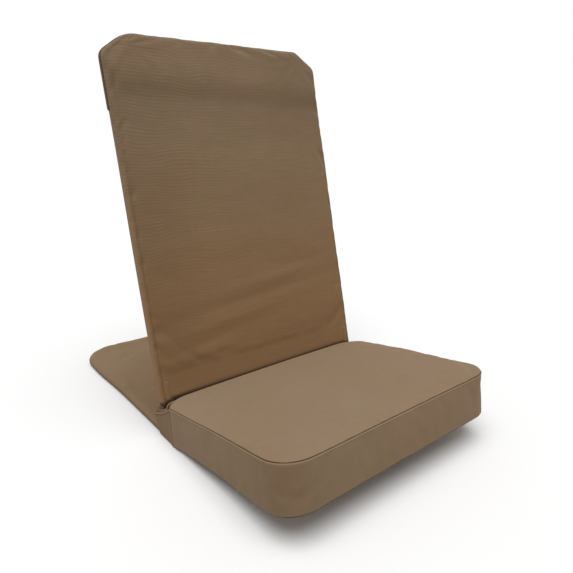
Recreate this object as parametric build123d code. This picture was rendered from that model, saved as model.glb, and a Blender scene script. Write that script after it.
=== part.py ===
from build123d import *
from math import cos, hypot, radians, sin, sqrt, tan
import os

# Folding floor chair. Millimetres, +Z up, +Y to the rear, +X to the sitter's left seen from behind.
# The tail lies flat on the floor and the seat rises towards the front.
# Three frames are used: the seat frame, whose z = 0 is the underside of the seat, the panel frame
# of the backrest, whose z = 0 is its front face, and the floor frame, in which the parts are saved.

# ---- driving dimensions ----
SEAT_WIDTH = 400.0
SEAT_DEPTH = 296.0            # front edge to the foot of the backrest's front face
SEAT_THICKNESS = 63.5         # underside to the top seam
SEAT_CROWN = 3.0              # rise of the top above the corners' seam
SEAT_FRONT_RADIUS = 42.0
SEAT_REAR_RADIUS = 30.0
SEAT_PULL_IN = 2.0            # how far each side is drawn in at its middle
SEAT_TILT = 9.0               # degrees between seat and tail
BEND_AHEAD = 12.0             # the bend, ahead of the foot of the backrest's front face
TAIL_INSET = 2.0              # each side of the tail, in from the seat's side
TAIL_LENGTH = 405.0           # bend to rear edge
TAIL_CORNER_RADIUS = 56.0
TAIL_TOP_START = 42.0          # the tail's top panel begins this far behind the bend
BACK_INSET = 2.0              # each side of the backrest, in from the seat's side
BACK_LENGTH = 605.0           # from the seat's underside, along the slope
BACK_LEAN = 4.2               # degrees from square to the seat
BACK_HEM = 54.0               # lower edge of the back cover, along the slope
BACK_CORNER_ACROSS = 40.0     # the cut top corners
BACK_CORNER_DOWN = 28.0
BACK_CORNER_RADIUS = 15.0
BACK_FRONT_FOAM = 3.0         # foam in front of the back frame's rod
HOOD_DEPTH = 95.0             # rear hood, top edge to hem

ROD_DIAMETER = 10.0           # both frames and the cross rod under the hinge
BACK_BEND_RADIUS = 24.0       # rod bends, on the centre line
BASE_BEND_RADIUS = 34.0
FLEX_BEND_RADIUS = 120.0      # the shallow bend between seat and tail
BACK_CROSS_DIAMETER = 8.0
BACK_CROSS_HEIGHT = 106.0     # along the slope
STOP_DIAMETER = 6.0
STOP_DROP = 34.0              # stop rod below the pivot, along the slope
FABRIC = 1.0                  # canvas
SLING_THICKNESS = 1.2
SLING_MARGIN = 4.0            # sling edge inside the rod's outer side
SLING_PULL_IN = 0.5
FIT = 0.2                     # a cover and what it holds
OVERRUN = 1.0                 # cutting bodies run this far past their piece
REAR_GAP = 2.0                # seat cushion to the backrest's front face
FOLD_GAP = 0.8                # folded backrest over the crown of the seat

PLATE = 4.0                   # ears and pivot arms
PLATE_GAP = 0.6               # between an ear and its arm
EAR_HEAD_RADIUS = 8.0
EAR_STOP_RADIUS = 5.0
EAR_FOOT = 12.0               # half length of the ear where it meets the rod
WELD_GAP = 0.1
ARM_INBOARD = 1.0             # the arm's middle, inboard of the back rod's
ARM_HEAD_RADIUS = 8.0
ARM_HALF_WIDTH = 3.5
ARM_NECK = 15.0               # arm above the pivot, up to the rod's end
ARM_BELOW_STOP = 6.0
STOP_GAP = 0.2
BOLT_DIAMETER = 8.0
BOLT_FIT = 0.05               # radial, in the bush and in the arm
BOLT_HEAD_RADIUS = 6.0
BOLT_HEAD_HEIGHT = 3.0
BOLT_PLAY = 0.2               # under the head
BUSH_WALL = 1.0
BUSH_FLANGE_RADIUS = 6.5
BUSH_FLANGE = 0.4
WASHER_RADIUS = 8.0
WASHER_THICKNESS = 1.6
NUT_ACROSS_FLATS = 13.0
NUT_HEIGHT = 8.0
NUT_PLAY = 0.1
BOLT_TIP = 1.0                # bolt beyond the nut

NOTCH_WIDTH = 27.0            # the hinge's place at the lower corners of the back
NOTCH_ABOVE_PIVOT = 18.0
SLOT_GAP = 0.5                # front panel's slit, each side of an ear
SLOT_ABOVE_PIVOT = 13.0
FLAP_HEIGHT = 49.0            # fabric side flaps of the hinge
FLAP_SEAM = 0.3               # between the flap and the seat's boxing
FLAP_TOP_REAR = 20.0          # rear end of the flap's upper edge
FLAP_LENGTH = 40.0            # behind the bend
FLAP_REAR_HEIGHT = 12.0
FLAP_INSET = 0.8              # outer side, in from the seat's side
BACK_ROLL = 5.8               # radius of the rolled edges
HOOD_PROUD = 1.2
HOOD_FRONT_EDGE = 8.0         # the hood's edge on the sides, behind the front face
SEAM_DEPTH = 11.5             # front panel to rear panel seam, behind the front face

ZIP_HEIGHT = 26.0             # zip line above the seat's underside
ZIP_LENGTH = 320.0
ZIP_TAPE_WIDTH = 24.0
ZIP_TAPE = 0.8
ZIP_TEETH_WIDTH = 5.0
ZIP_TEETH = 0.9
ZIP_TRAVEL = 290.0
SLIDER_LENGTH = 11.0
SLIDER_WIDTH = 8.0
SLIDER_BODY = 1.6
SLIDER_GAP = 0.3
LUG_HEIGHT = 3.0
LUG_THICKNESS = 1.0
LUG_LENGTH = 3.0
PULL_WIDTH = 4.0
PULL_LENGTH = 20.0
PULL_THICKNESS = 1.0
PULL_PIN_DIAMETER = 1.2
PULL_PIN_FIT = 0.08           # radial

# ---- derived places, in the seat frame unless said otherwise ----
FULCRUM = -BEND_AHEAD
TAIL_WIDTH = SEAT_WIDTH - 2 * TAIL_INSET
BACK_WIDTH = SEAT_WIDTH - 2 * BACK_INSET
ROD = ROD_DIAMETER / 2
ROD_HEIGHT = FABRIC + FIT + ROD
SKIN = FABRIC + FIT
BASE_ROD_X = TAIL_WIDTH / 2 - SKIN - ROD
BACK_ROD_X = BACK_WIDTH / 2 - SKIN - ROD
BACK_ROD_DEPTH = SKIN + BACK_FRONT_FOAM + ROD
BACK_THICKNESS = BACK_ROD_DEPTH + ROD + SKIN
LEAN = radians(BACK_LEAN)
PIVOT_Z = SEAT_THICKNESS + SEAT_CROWN + FOLD_GAP + BACK_ROD_DEPTH
PIVOT_Y = PIVOT_Z * tan(LEAN) + BACK_ROD_DEPTH / cos(LEAN)
PIVOT_SLOPE = PIVOT_Z * cos(LEAN) + PIVOT_Y * sin(LEAN)
FOLD_ANGLE = 90 + BACK_LEAN
STOP_ROD_DEPTH = BACK_ROD_DEPTH - ARM_HALF_WIDTH - STOP_GAP - STOP_DIAMETER / 2
STOP_SLOPE = PIVOT_SLOPE - STOP_DROP
ARM_X = BACK_ROD_X - PLATE / 2 - ARM_INBOARD
EAR_X = ARM_X - PLATE_GAP - PLATE
BOLT_HOLE = BOLT_DIAMETER / 2 + BOLT_FIT
HINGE_RISE = (PIVOT_Y - FULCRUM) * tan(radians(SEAT_TILT))
SLING_TOP = ROD_HEIGHT + ROD + FIT + SLING_THICKNESS
CORNER_REACH_X = SEAT_WIDTH / 2
CORNER_REACH_Y = SEAT_DEPTH / 2
CROWN_RADIUS = (CORNER_REACH_X ** 2 + CORNER_REACH_Y ** 2) / (2 * SEAT_CROWN)

# ---- frames ----
PANEL = Plane(origin=(0, 0, 0), x_dir=(1, 0, 0), z_dir=(0, -cos(LEAN), sin(LEAN)))
SIDE = Plane(origin=(0, 0, 0), x_dir=(0, 1, 0), z_dir=(1, 0, 0))
TILT = Pos(0, FULCRUM, 0) * Rot(-SEAT_TILT, 0, 0) * Pos(0, -FULCRUM, 0)


def tilted(shape):
    """From the seat frame to the floor frame."""
    return TILT * shape


def panel_point(across, slope, depth):
    """A point of the backrest, in the seat frame."""
    return PANEL.from_local_coords(Vector(across, slope, -depth))


def cylinder_x(x_from, x_to, y, z, radius):
    """A cylinder along X between two x values."""
    length = x_to - x_from
    return Pos((x_from + x_to) / 2, y, z) * Rot(0, 90, 0) * Cylinder(radius, length)


def both_sides(solid):
    """A solid and its mirror image across x = 0, as one group."""
    return Compound([solid, mirror(solid, about=Plane.YZ)])


def block(x_from, x_to, y_from, y_to, z_from, z_to):
    """A box from its limits."""
    size = (x_to - x_from, y_to - y_from, z_to - z_from)
    return Pos((x_from + x_to) / 2, (y_from + y_to) / 2, (z_from + z_to) / 2) * Box(*size)


def rod_half(points, radii, radius):
    """Half of a bent rod loop, from the middle of one cross run to the other end."""
    path = FilletPolyline(*points, radius=radii)
    start = Plane(origin=path @ 0, z_dir=path % 0)
    return sweep(start * Circle(radius), path=path)


def drawn_outline(half, front, rear, front_radius, rear_radius, pull):
    """A closed outline with round corners, each side drawn in at its middle."""
    front_left = CenterArc((-half + front_radius, front + front_radius), front_radius, 180, 90)
    front_right = CenterArc((half - front_radius, front + front_radius), front_radius, 270, 90)
    rear_right = CenterArc((half - rear_radius, rear - rear_radius), rear_radius, 0, 90)
    rear_left = CenterArc((-half + rear_radius, rear - rear_radius), rear_radius, 90, 90)
    middle = (front + rear) / 2
    sides = [
        ThreePointArc(front_left @ 1, (0, front + pull), front_right @ 0),
        ThreePointArc(front_right @ 1, (half - pull, middle), rear_right @ 0),
        Line(rear_right @ 1, rear_left @ 0),
        ThreePointArc(rear_left @ 1, (-half + pull, middle), front_left @ 0),
    ]
    return make_face([front_left, front_right, rear_right, rear_left] + sides)


# ---- base frame ----
def base_rod(radius):
    """The closed rod loop that runs round the seat and the tail, in the floor frame."""
    seat_front = -SEAT_DEPTH + SEAT_PULL_IN + SKIN + ROD
    front_middle = tilted(Vertex(0, seat_front, ROD_HEIGHT)).center()
    front_corner = tilted(Vertex(BASE_ROD_X, seat_front, ROD_HEIGHT)).center()
    bend = (BASE_ROD_X, FULCRUM + ROD_HEIGHT * tan(radians(SEAT_TILT / 2)), ROD_HEIGHT)
    rear = FULCRUM + TAIL_LENGTH - SKIN - ROD
    points = [
        front_middle,
        front_corner,
        bend,
        (BASE_ROD_X, rear, ROD_HEIGHT),
        (0, rear, ROD_HEIGHT),
    ]
    radii = [BASE_BEND_RADIUS, FLEX_BEND_RADIUS, TAIL_CORNER_RADIUS - SKIN - ROD]
    half = rod_half(points, radii, radius)
    return half + mirror(half, about=Plane.YZ)


def hinge_cross_rod():
    """The cross rod under the hinge, butt-welded between the ears."""
    reach = EAR_X - WELD_GAP
    return cylinder_x(-reach, reach, PIVOT_Y, ROD_HEIGHT, ROD)


def ear_outline():
    """The ear's side view: foot on the rod, lobe for the stop rod, head at the pivot."""
    stop = panel_point(0, STOP_SLOPE, STOP_ROD_DEPTH)
    head = Pos(PIVOT_Y, PIVOT_Z) * Circle(EAR_HEAD_RADIUS)
    lobe = Pos(stop.Y, stop.Z) * Circle(EAR_STOP_RADIUS)
    foot = Pos(PIVOT_Y, ROD_HEIGHT + HINGE_RISE) * Rectangle(2 * EAR_FOOT, ROD)
    lower = make_hull(lobe.edges() + foot.edges())
    upper = make_hull(lobe.edges() + head.edges())
    spine = make_hull(foot.edges() + head.edges())
    return lower + upper + spine


def hinge_ear():
    """A welded ear with its bush bore and the bore of the stop rod."""
    plate = Pos(EAR_X, 0, 0) * extrude(SIDE * ear_outline(), amount=PLATE)
    stop = panel_point(0, STOP_SLOPE, STOP_ROD_DEPTH)
    bush_bore = BOLT_HOLE + BUSH_WALL
    low = EAR_X - OVERRUN
    high = EAR_X + PLATE + OVERRUN
    plate -= cylinder_x(low, high, PIVOT_Y, PIVOT_Z, bush_bore)
    plate -= cylinder_x(low, high, stop.Y, stop.Z, STOP_DIAMETER / 2)
    return tilted(plate) - base_rod(ROD + WELD_GAP)


def stop_rod():
    """The rod that the pivot arms bear on when the backrest is up."""
    stop = panel_point(0, STOP_SLOPE, STOP_ROD_DEPTH)
    reach = ARM_X + PLATE
    return tilted(cylinder_x(-reach, reach, stop.Y, stop.Z, STOP_DIAMETER / 2))


def pivot_bushes():
    """A flanged bush in each ear."""
    inner = EAR_X - BUSH_FLANGE
    bush = cylinder_x(inner, EAR_X + PLATE, PIVOT_Y, PIVOT_Z, BOLT_HOLE + BUSH_WALL)
    bush += cylinder_x(inner, EAR_X, PIVOT_Y, PIVOT_Z, BUSH_FLANGE_RADIUS)
    bush -= cylinder_x(inner - OVERRUN, EAR_X + PLATE + OVERRUN, PIVOT_Y, PIVOT_Z, BOLT_HOLE)
    return tilted(both_sides(bush))


# ---- seat cushion ----
def seat_block(inset, bottom, top):
    """The cushion's outer form between two heights, inset on all sides, with no crown yet."""
    faces = []
    for height in (bottom, top):
        rear = height * tan(LEAN) - REAR_GAP - inset
        outline = drawn_outline(
            SEAT_WIDTH / 2 - inset,
            -SEAT_DEPTH + inset,
            rear,
            SEAT_FRONT_RADIUS - inset,
            SEAT_REAR_RADIUS - inset,
            SEAT_PULL_IN,
        )
        faces.append(Pos(0, 0, height) * outline)
    return loft(faces, ruled=True)


def crown_ball(drop):
    """The large ball whose top is the crown, lowered by drop."""
    top = SEAT_THICKNESS + SEAT_CROWN - drop
    return Pos(0, -SEAT_DEPTH / 2, top - CROWN_RADIUS) * Sphere(CROWN_RADIUS)


def crowned(inset, bottom, drop):
    """The cushion's form with its crowned top."""
    tall = seat_block(inset, bottom, SEAT_THICKNESS + 2 * SEAT_CROWN)
    return tall & crown_ball(drop)


def seat_foam():
    return tilted(crowned(SKIN, SLING_TOP + FIT, SKIN))


def seat_cover_top():
    """The crowned top panel, down to the seam."""
    return tilted(crowned(0, FABRIC, 0) - crowned_core())


def crowned_core():
    """All that lies under the top panel."""
    tall = seat_block(-FABRIC, 0, SEAT_THICKNESS + 2 * SEAT_CROWN)
    return tall & crown_ball(FABRIC)


def seat_cover_boxing():
    """The side band, from the bottom panel to the top panel, let in over the tail's sleeve."""
    band = crowned(0, FABRIC, FABRIC) - seat_block(FABRIC, 0, SEAT_THICKNESS + 2 * SEAT_CROWN)
    half = SEAT_WIDTH
    floor_side = block(-half, half, FULCRUM, SEAT_DEPTH, -SEAT_THICKNESS, FABRIC)
    sleeve = tail_slab(-FIT, -FIT, 2 * ROD_HEIGHT + FIT, ROD_HEIGHT - FIT)
    return tilted(band) - floor_side - sleeve - base_rod(ROD + FIT)


def seat_cover_bottom():
    """The bottom panel, from the front to the bend."""
    outline = drawn_outline(
        SEAT_WIDTH / 2,
        -SEAT_DEPTH,
        -REAR_GAP,
        SEAT_FRONT_RADIUS,
        SEAT_REAR_RADIUS,
        SEAT_PULL_IN,
    )
    half = SEAT_WIDTH
    behind = block(-half, half, FULCRUM, SEAT_DEPTH, -FABRIC, 2 * FABRIC)
    return tilted(extrude(outline, amount=FABRIC) - behind)


def seat_sling():
    """The sling on the base rods, under the foam."""
    half = BASE_ROD_X + ROD - SLING_MARGIN
    front = -SEAT_DEPTH + SKIN + SLING_MARGIN
    rear = FULCRUM - FLEX_BEND_RADIUS * tan(radians(SEAT_TILT / 2))
    radius = BASE_BEND_RADIUS
    outline = drawn_outline(half, front, rear, radius, SLING_MARGIN, SLING_PULL_IN)
    sheet = Pos(0, 0, SLING_TOP - SLING_THICKNESS) * extrude(outline, amount=SLING_THICKNESS)
    return tilted(sheet)


# ---- zip on the seat's rear side ----
def zip_plane():
    """Plane on the rear boxing: x across, y up along the boxing, z out to the rear."""
    rear = ZIP_HEIGHT * tan(LEAN) - REAR_GAP
    return Plane(origin=(0, rear, ZIP_HEIGHT), x_dir=(-1, 0, 0), z_dir=(0, cos(LEAN), -sin(LEAN)))


def seat_zip_tape():
    """The tape and its closed row of teeth."""
    tape = Pos(0, 0, ZIP_TAPE / 2) * Box(ZIP_LENGTH, ZIP_TAPE_WIDTH, ZIP_TAPE)
    teeth = Pos(0, 0, ZIP_TAPE + ZIP_TEETH / 2) * Box(ZIP_LENGTH, ZIP_TEETH_WIDTH, ZIP_TEETH)
    return tilted(zip_plane() * (tape + teeth))


def slider_base():
    """Height of the slider's underside over the boxing."""
    return ZIP_TAPE + ZIP_TEETH + SLIDER_GAP


def slider_centre():
    """The closed slider's place along the zip."""
    return -ZIP_TRAVEL / 2


def seat_zip_slider():
    """The slider with two lugs and the pin of its pull."""
    low = slider_base()
    body = Pos(0, 0, low + SLIDER_BODY / 2) * Box(SLIDER_LENGTH, SLIDER_WIDTH, SLIDER_BODY)
    body = chamfer(body.edges().filter_by(Axis.Z), SLIDER_BODY / 2)
    lug_y = SLIDER_WIDTH / 2 - LUG_THICKNESS / 2
    lug_top = low + SLIDER_BODY + LUG_HEIGHT
    lug = block(
        -LUG_LENGTH / 2,
        LUG_LENGTH / 2,
        lug_y - LUG_THICKNESS / 2,
        lug_y + LUG_THICKNESS / 2,
        low + SLIDER_BODY / 2,
        lug_top,
    )
    pin = Rot(90, 0, 0) * Cylinder(PULL_PIN_DIAMETER / 2, 2 * lug_y)
    body += lug + mirror(lug, about=Plane.XZ) + Pos(0, 0, pull_height()) * pin
    return tilted(zip_plane() * (Pos(slider_centre(), 0, 0) * body))


def pull_height():
    """The pull's pin over the boxing."""
    return slider_base() + SLIDER_BODY + LUG_HEIGHT / 2


def seat_zip_pull():
    """The pull tab, which lies back along the zip."""
    plate = Pos(PULL_LENGTH / 2, 0) * Box(PULL_LENGTH, PULL_WIDTH, PULL_THICKNESS)
    plate = fillet(plate.edges().filter_by(Axis.Z), PULL_WIDTH / 4)
    eye = Rot(90, 0, 0) * Cylinder(PULL_PIN_DIAMETER / 2 + PULL_THICKNESS / 2, PULL_WIDTH)
    bore = Rot(90, 0, 0) * Cylinder(PULL_PIN_DIAMETER / 2 + PULL_PIN_FIT, 2 * PULL_WIDTH)
    tab = plate + eye - bore
    return tilted(zip_plane() * (Pos(slider_centre(), 0, pull_height()) * tab))


# ---- tail ----
def tail_outline(inset):
    """The tail's plan, open towards the seat, inset on its three outer sides."""
    half = TAIL_WIDTH / 2 - inset
    rear = FULCRUM + TAIL_LENGTH - inset
    radius = TAIL_CORNER_RADIUS - inset
    right = CenterArc((half - radius, rear - radius), radius, 0, 90)
    left = CenterArc((-half + radius, rear - radius), radius, 90, 90)
    return make_face(
        [
            Line((-half, FULCRUM), (half, FULCRUM)),
            Line((half, FULCRUM), right @ 0),
            right,
            Line(right @ 1, left @ 0),
            left,
            Line(left @ 1, (-half, FULCRUM)),
        ]
    )


def tail_slab(inset, bottom, top, roll):
    """The tail's form with its outer edges rolled."""
    slab = Pos(0, 0, bottom) * extrude(tail_outline(inset), amount=top - bottom)
    level = slab.faces().filter_by(Axis.Z).edges()
    outer = level.filter_by(lambda edge: edge.center().Y > FULCRUM + OVERRUN)
    return fillet(outer, roll)


def tail_shell():
    """The fabric sleeve of the tail."""
    top = 2 * ROD_HEIGHT
    outer = tail_slab(0, 0, top, ROD_HEIGHT - FIT)
    inner = tail_slab(FABRIC, FABRIC, top - FABRIC, ROD_HEIGHT - FIT - FABRIC)
    return outer - inner


def tail_cover_top():
    half = TAIL_WIDTH / 2 + FABRIC
    front = FULCRUM + TAIL_TOP_START
    upper = block(-half, half, front, FULCRUM + 2 * TAIL_LENGTH, ROD_HEIGHT, 3 * ROD_HEIGHT)
    return tail_shell() & upper


def tail_cover_bottom():
    half = TAIL_WIDTH / 2 + FABRIC
    front = FULCRUM + FIT
    lower = block(-half, half, front, FULCRUM + 2 * TAIL_LENGTH, -ROD_HEIGHT, ROD_HEIGHT)
    return tail_shell() & lower


def tail_pad():
    """The thin foam sheet inside the rod loop."""
    inset = SKIN + ROD_DIAMETER + FIT
    sheet = extrude(tail_outline(inset), amount=ROD_DIAMETER)
    half = TAIL_WIDTH
    front = block(-half, half, FULCRUM - OVERRUN, FULCRUM + TAIL_TOP_START, 0, 4 * ROD)
    return Pos(0, 0, SKIN) * (sheet - front)


# ---- hinge flaps ----
def hinge_flap():
    """A fabric side panel that hides the ear, from seat to tail."""
    outer = SEAT_WIDTH / 2 - FLAP_INSET
    past_corner = SEAT_REAR_RADIUS - FLAP_INSET - FABRIC
    corner = SEAT_REAR_RADIUS - sqrt(SEAT_REAR_RADIUS ** 2 - past_corner ** 2)
    front = -REAR_GAP - corner + FLAP_SEAM
    rear = FULCRUM + FLAP_LENGTH
    rear_floor = SKIN + FLAP_LENGTH * tan(radians(SEAT_TILT))
    outline = make_face(
        Polyline(
            (front + SKIN * tan(LEAN), SKIN),
            (FULCRUM, SKIN),
            (rear, rear_floor),
            (rear, rear_floor + FLAP_REAR_HEIGHT),
            (FLAP_TOP_REAR, FLAP_HEIGHT),
            (front + FLAP_HEIGHT * tan(LEAN), FLAP_HEIGHT),
            close=True,
        )
    )
    return Pos(outer - FABRIC, 0, 0) * extrude(SIDE * outline, amount=FABRIC)


# ---- backrest, drawn in the panel frame ----
def corner_cut(inset):
    """How far the cut of a top corner reaches across and down, on an outline set in all round."""
    diagonal = hypot(BACK_CORNER_ACROSS, BACK_CORNER_DOWN)
    across = BACK_CORNER_ACROSS - inset * (1 - (diagonal - BACK_CORNER_ACROSS) / BACK_CORNER_DOWN)
    down = BACK_CORNER_DOWN - inset * (1 - (diagonal - BACK_CORNER_DOWN) / BACK_CORNER_ACROSS)
    return across, down


def back_outline(inset, hem):
    """The panel's outline: cut top corners with small rounds, square lower corners."""
    half = BACK_WIDTH / 2 - inset
    top = BACK_LENGTH - inset
    across, down = corner_cut(inset)
    corner = [
        (-half, hem),
        (half, hem),
        (half, top - down),
        (half - across, top),
        (-half + across, top),
        (-half, top - down),
    ]
    face = make_face(Polyline(*corner, close=True))
    upper = face.vertices().filter_by(lambda point: point.Y > hem + OVERRUN)
    return fillet(upper, BACK_CORNER_RADIUS - inset)


def back_slab(inset, hem, front, rear, roll):
    """The panel's form between two depths, its front and rear edges rolled."""
    slab = Pos(0, 0, -rear) * extrude(back_outline(inset, hem), amount=rear - front)
    level = slab.faces().filter_by(Axis.Z).edges()
    outer = level.filter_by(lambda edge: edge.center().Y > hem + OVERRUN)
    return fillet(outer, roll)


def back_place(shape):
    """From the panel frame to the floor frame."""
    return tilted(PANEL * shape)


def notch_top():
    return PIVOT_SLOPE + NOTCH_ABOVE_PIVOT


def notches():
    """The open lower corners, where the hinge is."""
    inner = BACK_WIDTH / 2 - NOTCH_WIDTH
    outer = BACK_WIDTH / 2 + 2 * HOOD_PROUD
    corner = block(inner, outer, 0, notch_top(), -2 * BACK_THICKNESS, BACK_THICKNESS)
    return corner + mirror(corner, about=Plane.YZ)


def ear_slots():
    """The slits in the front panel that the ears come through as the backrest folds."""
    low = EAR_X - SLOT_GAP
    high = EAR_X + PLATE + SLOT_GAP
    top = PIVOT_SLOPE + SLOT_ABOVE_PIVOT
    slot = block(low, high, 0, top, -BACK_THICKNESS, BACK_THICKNESS)
    return slot + mirror(slot, about=Plane.YZ)


def back_shell():
    """The back cover as one bag, open at the lower edge."""
    outer = back_slab(0, BACK_HEM, 0, BACK_THICKNESS, BACK_ROLL)
    rear = BACK_THICKNESS - FABRIC
    inner = back_slab(FABRIC, 0, FABRIC, rear, BACK_ROLL - FABRIC)
    return outer - inner


def depth_slice(front, rear):
    """All of the panel between two depths."""
    half = BACK_WIDTH
    return block(-half, half, 0, 2 * BACK_LENGTH, -rear, -front)


def back_cover_front():
    """The front panel, rolled round the rods as far as the side seam."""
    return back_place((back_shell() & depth_slice(-FABRIC, SEAM_DEPTH)) - ear_slots())


def back_cover_rear():
    """The rear panel, cut away at the hinges."""
    return back_place((back_shell() & depth_slice(SEAM_DEPTH, 2 * BACK_THICKNESS)) - notches())


def back_hood():
    """The hood over the top of the rear panel."""
    rear = BACK_THICKNESS + HOOD_PROUD
    low = BACK_LENGTH - HOOD_DEPTH
    outer = back_slab(-HOOD_PROUD, low, 0, rear, BACK_ROLL)
    core = back_slab(-FIT / 2, 0, -HOOD_PROUD, BACK_THICKNESS + FIT / 2, BACK_ROLL)
    sheet = outer - core
    return back_place(sheet & depth_slice(HOOD_FRONT_EDGE, 2 * rear))


def back_rod(radius):
    """The back frame: an inverted U with cut corners, ending above the pivots."""
    top = BACK_LENGTH - SKIN - ROD
    low = PIVOT_SLOPE + ARM_NECK
    across, down = corner_cut(SKIN + ROD)
    depth = -BACK_ROD_DEPTH
    points = [
        (0, top, depth),
        (BACK_ROD_X - across, top, depth),
        (BACK_ROD_X, top - down, depth),
        (BACK_ROD_X, low, depth),
    ]
    half = rod_half(points, [BACK_BEND_RADIUS, BACK_BEND_RADIUS], radius)
    return half + mirror(half, about=Plane.YZ)


def back_cross(radius, reach):
    """A cross rod between the legs of the back frame."""
    return cylinder_x(-reach, reach, BACK_CROSS_HEIGHT, -BACK_ROD_DEPTH, radius)


def pivot_arm():
    """A flat arm butt-welded to the rod's end, with the pivot bore and the stop tongue."""
    tongue_low = STOP_SLOPE - ARM_BELOW_STOP
    neck_top = PIVOT_SLOPE + ARM_NECK
    head = Pos(BACK_ROD_DEPTH, PIVOT_SLOPE) * Circle(ARM_HEAD_RADIUS)
    middle = (tongue_low + neck_top) / 2
    strip = Pos(BACK_ROD_DEPTH, middle) * Rectangle(2 * ARM_HALF_WIDTH, neck_top - tongue_low)
    outline = head + strip
    plate = extrude(Plane(origin=(0, 0, 0), x_dir=(0, 0, -1), z_dir=(1, 0, 0)) * outline, amount=PLATE)
    bore = cylinder_x(-OVERRUN, PLATE + OVERRUN, PIVOT_SLOPE, -BACK_ROD_DEPTH, BOLT_HOLE)
    return Pos(ARM_X, 0, 0) * (plate - bore)


def on_pivot(x_from, x_to, radius):
    """A cylinder on the pivot axis, in the panel frame."""
    return cylinder_x(x_from, x_to, PIVOT_SLOPE, -BACK_ROD_DEPTH, radius)


def nut_outer_side():
    """Where the washer starts, inboard of the bush's flange."""
    return EAR_X - BUSH_FLANGE - NUT_PLAY


def pivot_bolts():
    head_from = ARM_X + PLATE + BOLT_PLAY
    tip = nut_outer_side() - WASHER_THICKNESS - NUT_HEIGHT - BOLT_TIP
    bolt = on_pivot(tip, head_from, BOLT_DIAMETER / 2)
    bolt += on_pivot(head_from, head_from + BOLT_HEAD_HEIGHT, BOLT_HEAD_RADIUS)
    return back_place(both_sides(bolt))


def pivot_washers():
    outer = nut_outer_side()
    inner = outer - WASHER_THICKNESS
    washer = on_pivot(inner, outer, WASHER_RADIUS)
    washer -= on_pivot(inner - OVERRUN, outer + OVERRUN, BOLT_HOLE)
    return back_place(both_sides(washer))


def pivot_nuts():
    outer = nut_outer_side() - WASHER_THICKNESS
    hexagon = RegularPolygon(NUT_ACROSS_FLATS / 2, 6, major_radius=False)
    nut = extrude(hexagon, amount=NUT_HEIGHT)
    nut -= Cylinder(BOLT_HOLE, 4 * NUT_HEIGHT)
    nut = Pos(outer, PIVOT_SLOPE, -BACK_ROD_DEPTH) * Rot(0, -90, 0) * nut
    return back_place(both_sides(nut))


def back_foam():
    """The foam sheet: thin in front of the rods, filling the frame between them."""
    hem = BACK_HEM + FABRIC
    rear = BACK_ROD_DEPTH + ROD
    sheet = back_slab(SKIN, hem, SKIN, rear, BACK_ROLL - SKIN)
    sheet -= back_rod(ROD + FIT)
    sheet -= back_cross(BACK_CROSS_DIAMETER / 2 + FIT, BACK_ROD_X)
    half = BACK_WIDTH
    behind = block(BACK_ROD_X, half, 0, 2 * BACK_LENGTH, -2 * rear, -BACK_ROD_DEPTH)
    sheet -= behind + mirror(behind, about=Plane.YZ)
    above = block(-half, half, BACK_LENGTH - SKIN - ROD, 2 * BACK_LENGTH, -2 * rear, -BACK_ROD_DEPTH)
    sheet = sheet - above - notches()
    return back_place(sheet.solids().sort_by(SortBy.VOLUME)[-1])


# ---- save ----
def all_nodes():
    """Every node of the part, placed on the floor frame before the origin is set."""
    ear = hinge_ear()
    arm = pivot_arm()
    flap = tilted(hinge_flap())
    reach = BACK_ROD_X - ROD - WELD_GAP
    return {
        "base_frame": base_rod(ROD),
        "hinge_cross_rod": hinge_cross_rod(),
        "hinge_ear_right": ear,
        "hinge_ear_left": mirror(ear, about=Plane.YZ),
        "stop_rod": stop_rod(),
        "pivot_bushes": pivot_bushes(),
        "seat_sling": seat_sling(),
        "seat_foam": seat_foam(),
        "seat_cover_top": seat_cover_top(),
        "seat_cover_boxing": seat_cover_boxing(),
        "seat_cover_bottom": seat_cover_bottom(),
        "seat_zip_tape": seat_zip_tape(),
        "seat_zip_slider": seat_zip_slider(),
        "seat_zip_pull": seat_zip_pull(),
        "tail_pad": tail_pad(),
        "tail_cover_top": tail_cover_top(),
        "tail_cover_bottom": tail_cover_bottom(),
        "hinge_flap_right": flap,
        "hinge_flap_left": mirror(flap, about=Plane.YZ),
        "back_frame": back_place(back_rod(ROD)),
        "back_cross_rod": back_place(back_cross(BACK_CROSS_DIAMETER / 2, reach)),
        "pivot_arm_right": back_place(arm),
        "pivot_arm_left": back_place(mirror(arm, about=Plane.YZ)),
        "pivot_bolts": pivot_bolts(),
        "pivot_washers": pivot_washers(),
        "pivot_nuts": pivot_nuts(),
        "back_foam": back_foam(),
        "back_cover_front": back_cover_front(),
        "back_cover_rear": back_cover_rear(),
        "back_hood": back_hood(),
    }


def main():
    nodes = all_nodes()
    bounds = Compound(list(nodes.values())).bounding_box()
    origin = Pos(-bounds.center().X, -bounds.center().Y, -bounds.min.Z)
    os.makedirs("parts", exist_ok=True)
    for name, shape in nodes.items():
        export_step(origin * shape, f"parts/{name}.step")
    pivot = (origin * tilted(Vertex(0, PIVOT_Y, PIVOT_Z))).center()
    zip_at = zip_plane().from_local_coords(Vector(slider_centre(), 0, pull_height()))
    pull = (origin * tilted(Vertex(zip_at.X, zip_at.Y, zip_at.Z))).center()
    print("size", bounds.size, "origin shift", origin.position)
    print("pivot", pivot, "fold angle", FOLD_ANGLE, "pull pin", pull)


main()
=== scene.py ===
import math

import bpy
import numpy as np
from mathutils import Matrix, Vector, noise


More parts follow.
